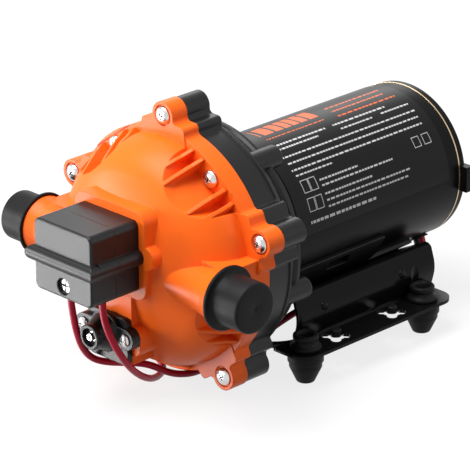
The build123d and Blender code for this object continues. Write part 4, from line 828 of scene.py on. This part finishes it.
# Studio, in metres

FLOOR_SIZE = 8
FLOOR_DROP = 0.2 * MM
# The paper's two shades, and the dull one that lights the pump from below
PAPER = (0.86, 0.86, 0.86)
PAPER_SHADE = (0.84, 0.84, 0.84)
PAPER_BOUNCE = (0.22, 0.22, 0.22)
# How much of the paper is plain white near the pump, and where it starts to grow
PAPER_GLOW = 0.8
FADE_START = 0.4
# Place and size of each light
LAMPS = {
    "key": ((-0.15, -0.35, 0.95), (0.7, 0.7)),
    "front": ((-0.75, -0.85, 0.16), (0.9, 0.3)),
    "side": ((0.9, 0.35, 0.5), (0.25, 0.8)),
    "back": ((-0.8, 1.0, 0.7), (0.6, 0.6)),
    "sheen": ((-0.7, -0.73, -0.33), (0.6, 0.35)),
}
# The point that the lights and the camera look at, and the way from there to the camera
AIM = Vector((0, -0.0424, SHAFT.z))
TO_CAMERA = Vector((0.6605, -0.6468, 0.3814)).normalized()
CAMERA_SHIFT = (0.02545, -0.01962)
SENSOR_WIDTH = 36
FARTHEST_SEEN = 20


def seen_rays(tree):
    """One for the rays that see the white background: the camera's, mirrored ones, those through glass."""
    path = tree.nodes.new("ShaderNodeLightPath")
    camera, glossy, through = [Value(tree, path.outputs[f"Is {kind} Ray"])
                               for kind in ("Camera", "Glossy", "Transmission")]
    return (camera + glossy + through).math("MINIMUM", 1.0)


def floor_paper():
    """White paper: white to the camera, and it keeps the pump's shadow."""
    finish = Finish("floor_paper", PAPER, 0.8)
    paper = finish.mix(finish.noise(3.0, 2.0) * 0.1, PAPER, PAPER_SHADE)
    tree = finish.tree
    ray = seen_rays(tree)
    finish.set("Base Color", finish.mix(ray, PAPER_BOUNCE, paper))
    mix = tree.nodes.new("ShaderNodeMixShader")
    emission = tree.nodes.new("ShaderNodeEmission")
    output = tree.nodes["Material Output"]
    x, y, z = finish.axes()
    far = ((x * x + y * y).math("SQRT") - FADE_START).math("MAXIMUM", 0.0).math("MINIMUM", 1.0)
    tree.links.new((ray * (far * (1 - PAPER_GLOW) + PAPER_GLOW)).socket, mix.inputs[0])
    tree.links.new(finish.shader.outputs[0], mix.inputs[1])
    tree.links.new(emission.outputs[0], mix.inputs[2])
    tree.links.new(mix.outputs[0], output.inputs[0])
    return finish.material


def lay_floor():
    """Paper floor just under the feet, which lets the light from below through."""
    start_fresh()
    bpy.ops.mesh.primitive_plane_add(size=FLOOR_SIZE, location=(0, 0, -FLOOR_DROP))
    floor = bpy.context.object
    floor.name = "studio_floor"
    floor.data.materials.append(floor_paper())
    floor.visible_shadow = False


def light_world(ambient):
    """White all round: full where it is seen, dimmer where it lights the pump."""
    world = bpy.data.worlds.new("studio_world")
    bpy.context.scene.world = world
    world.use_nodes = True
    back = world.node_tree.nodes["Background"]
    back.inputs["Color"].default_value = (1, 1, 1, 1)
    strength = seen_rays(world.node_tree) * (1 - ambient) + ambient
    world.node_tree.links.new(strength.socket, back.inputs["Strength"])


def lamp(name, place, size, power):
    """Rectangular light that looks at the pump."""
    data = bpy.data.lights.new(name, "AREA")
    data.shape = "RECTANGLE"
    data.size, data.size_y = size
    data.energy = power
    light = bpy.data.objects.new(name, data)
    bpy.context.scene.collection.objects.link(light)
    light.matrix_world = facing(Vector(place), Vector(place) - AIM)
    return light


def show_only_mirrored(light):
    """Keep a light to what it shows as a sheen."""
    light.visible_diffuse = False
    light.data.cycles.use_multiple_importance_sampling = False


def set_camera(studio):
    """Camera with the photograph's view of the pump."""
    data = bpy.data.cameras.new("camera")
    camera = bpy.data.objects.new("camera", data)
    bpy.context.scene.collection.objects.link(camera)
    roll = Matrix.Rotation(studio.roll, 4, "Z")
    camera.matrix_world = facing(AIM + TO_CAMERA * studio.distance, TO_CAMERA) @ roll
    data.lens = studio.lens
    data.sensor_width = SENSOR_WIDTH
    data.shift_x, data.shift_y = CAMERA_SHIFT
    data.clip_end = FARTHEST_SEEN
    bpy.context.scene.camera = camera


class PUMP_OT_studio(bpy.types.Operator):
    """Set up the floor, the soft lights and the camera"""

    bl_idname = "pump.studio"
    bl_label = "Studio"

    def execute(self, context):
        studio = context.scene.pump_studio
        lay_floor()
        light_world(studio.ambient)
        lights = {name: lamp(f"{name}_light", place, size, getattr(studio, f"{name}_power"))
                  for name, (place, size) in LAMPS.items()}
        show_only_mirrored(lights["sheen"])
        set_camera(studio)
        context.scene.view_settings.view_transform = "Standard"
        return {"FINISHED"}


class PUMP_PT_panel(bpy.types.Panel):
    """Lists the pump's pieces in the sidebar"""

    bl_idname = "PUMP_PT_panel"
    bl_label = "Water pump"
    bl_space_type = "VIEW_3D"
    bl_region_type = "UI"
    bl_category = "Water pump"

    def draw(self, context):
        for operator in OPERATORS:
            self.layout.operator(operator.bl_idname)
        for name in GROUPS:
            group = getattr(context.scene, name)
            box = self.layout.box()
            for key in group.__annotations__:
                box.prop(group, key)


GROUPS = {
    "pump_finishes": PumpFinishes,
    "pump_screw": PumpScrewSizes,
    "pump_cap": PumpCapSizes,
    "pump_foot": PumpFootSizes,
    "pump_lead": PumpLeadSizes,
    "pump_studio": PumpStudio,
}
OPERATORS = (PUMP_OT_finish_solids, PUMP_OT_port_caps, PUMP_OT_screws, PUMP_OT_feet, PUMP_OT_leads,
             PUMP_OT_studio)


def register():
    """Register the sizes, the operators and the panel."""
    for name, group in GROUPS.items():
        bpy.utils.register_class(group)
        setattr(bpy.types.Scene, name, bpy.props.PointerProperty(type=group))
    for operator in OPERATORS:
        bpy.utils.register_class(operator)
    bpy.utils.register_class(PUMP_PT_panel)


def unregister():
    """Take them all away again."""
    bpy.utils.unregister_class(PUMP_PT_panel)
    for operator in reversed(OPERATORS):
        bpy.utils.unregister_class(operator)
    for name, group in reversed(list(GROUPS.items())):
        delattr(bpy.types.Scene, name)
        bpy.utils.unregister_class(group)


def main():
    """Build the whole scene."""
    register()
    bpy.ops.pump.finish_solids()
    bpy.ops.pump.port_caps()
    bpy.ops.pump.screws()
    bpy.ops.pump.feet()
    bpy.ops.pump.leads()
    bpy.ops.pump.studio()


if __name__ == "__main__":
    main()
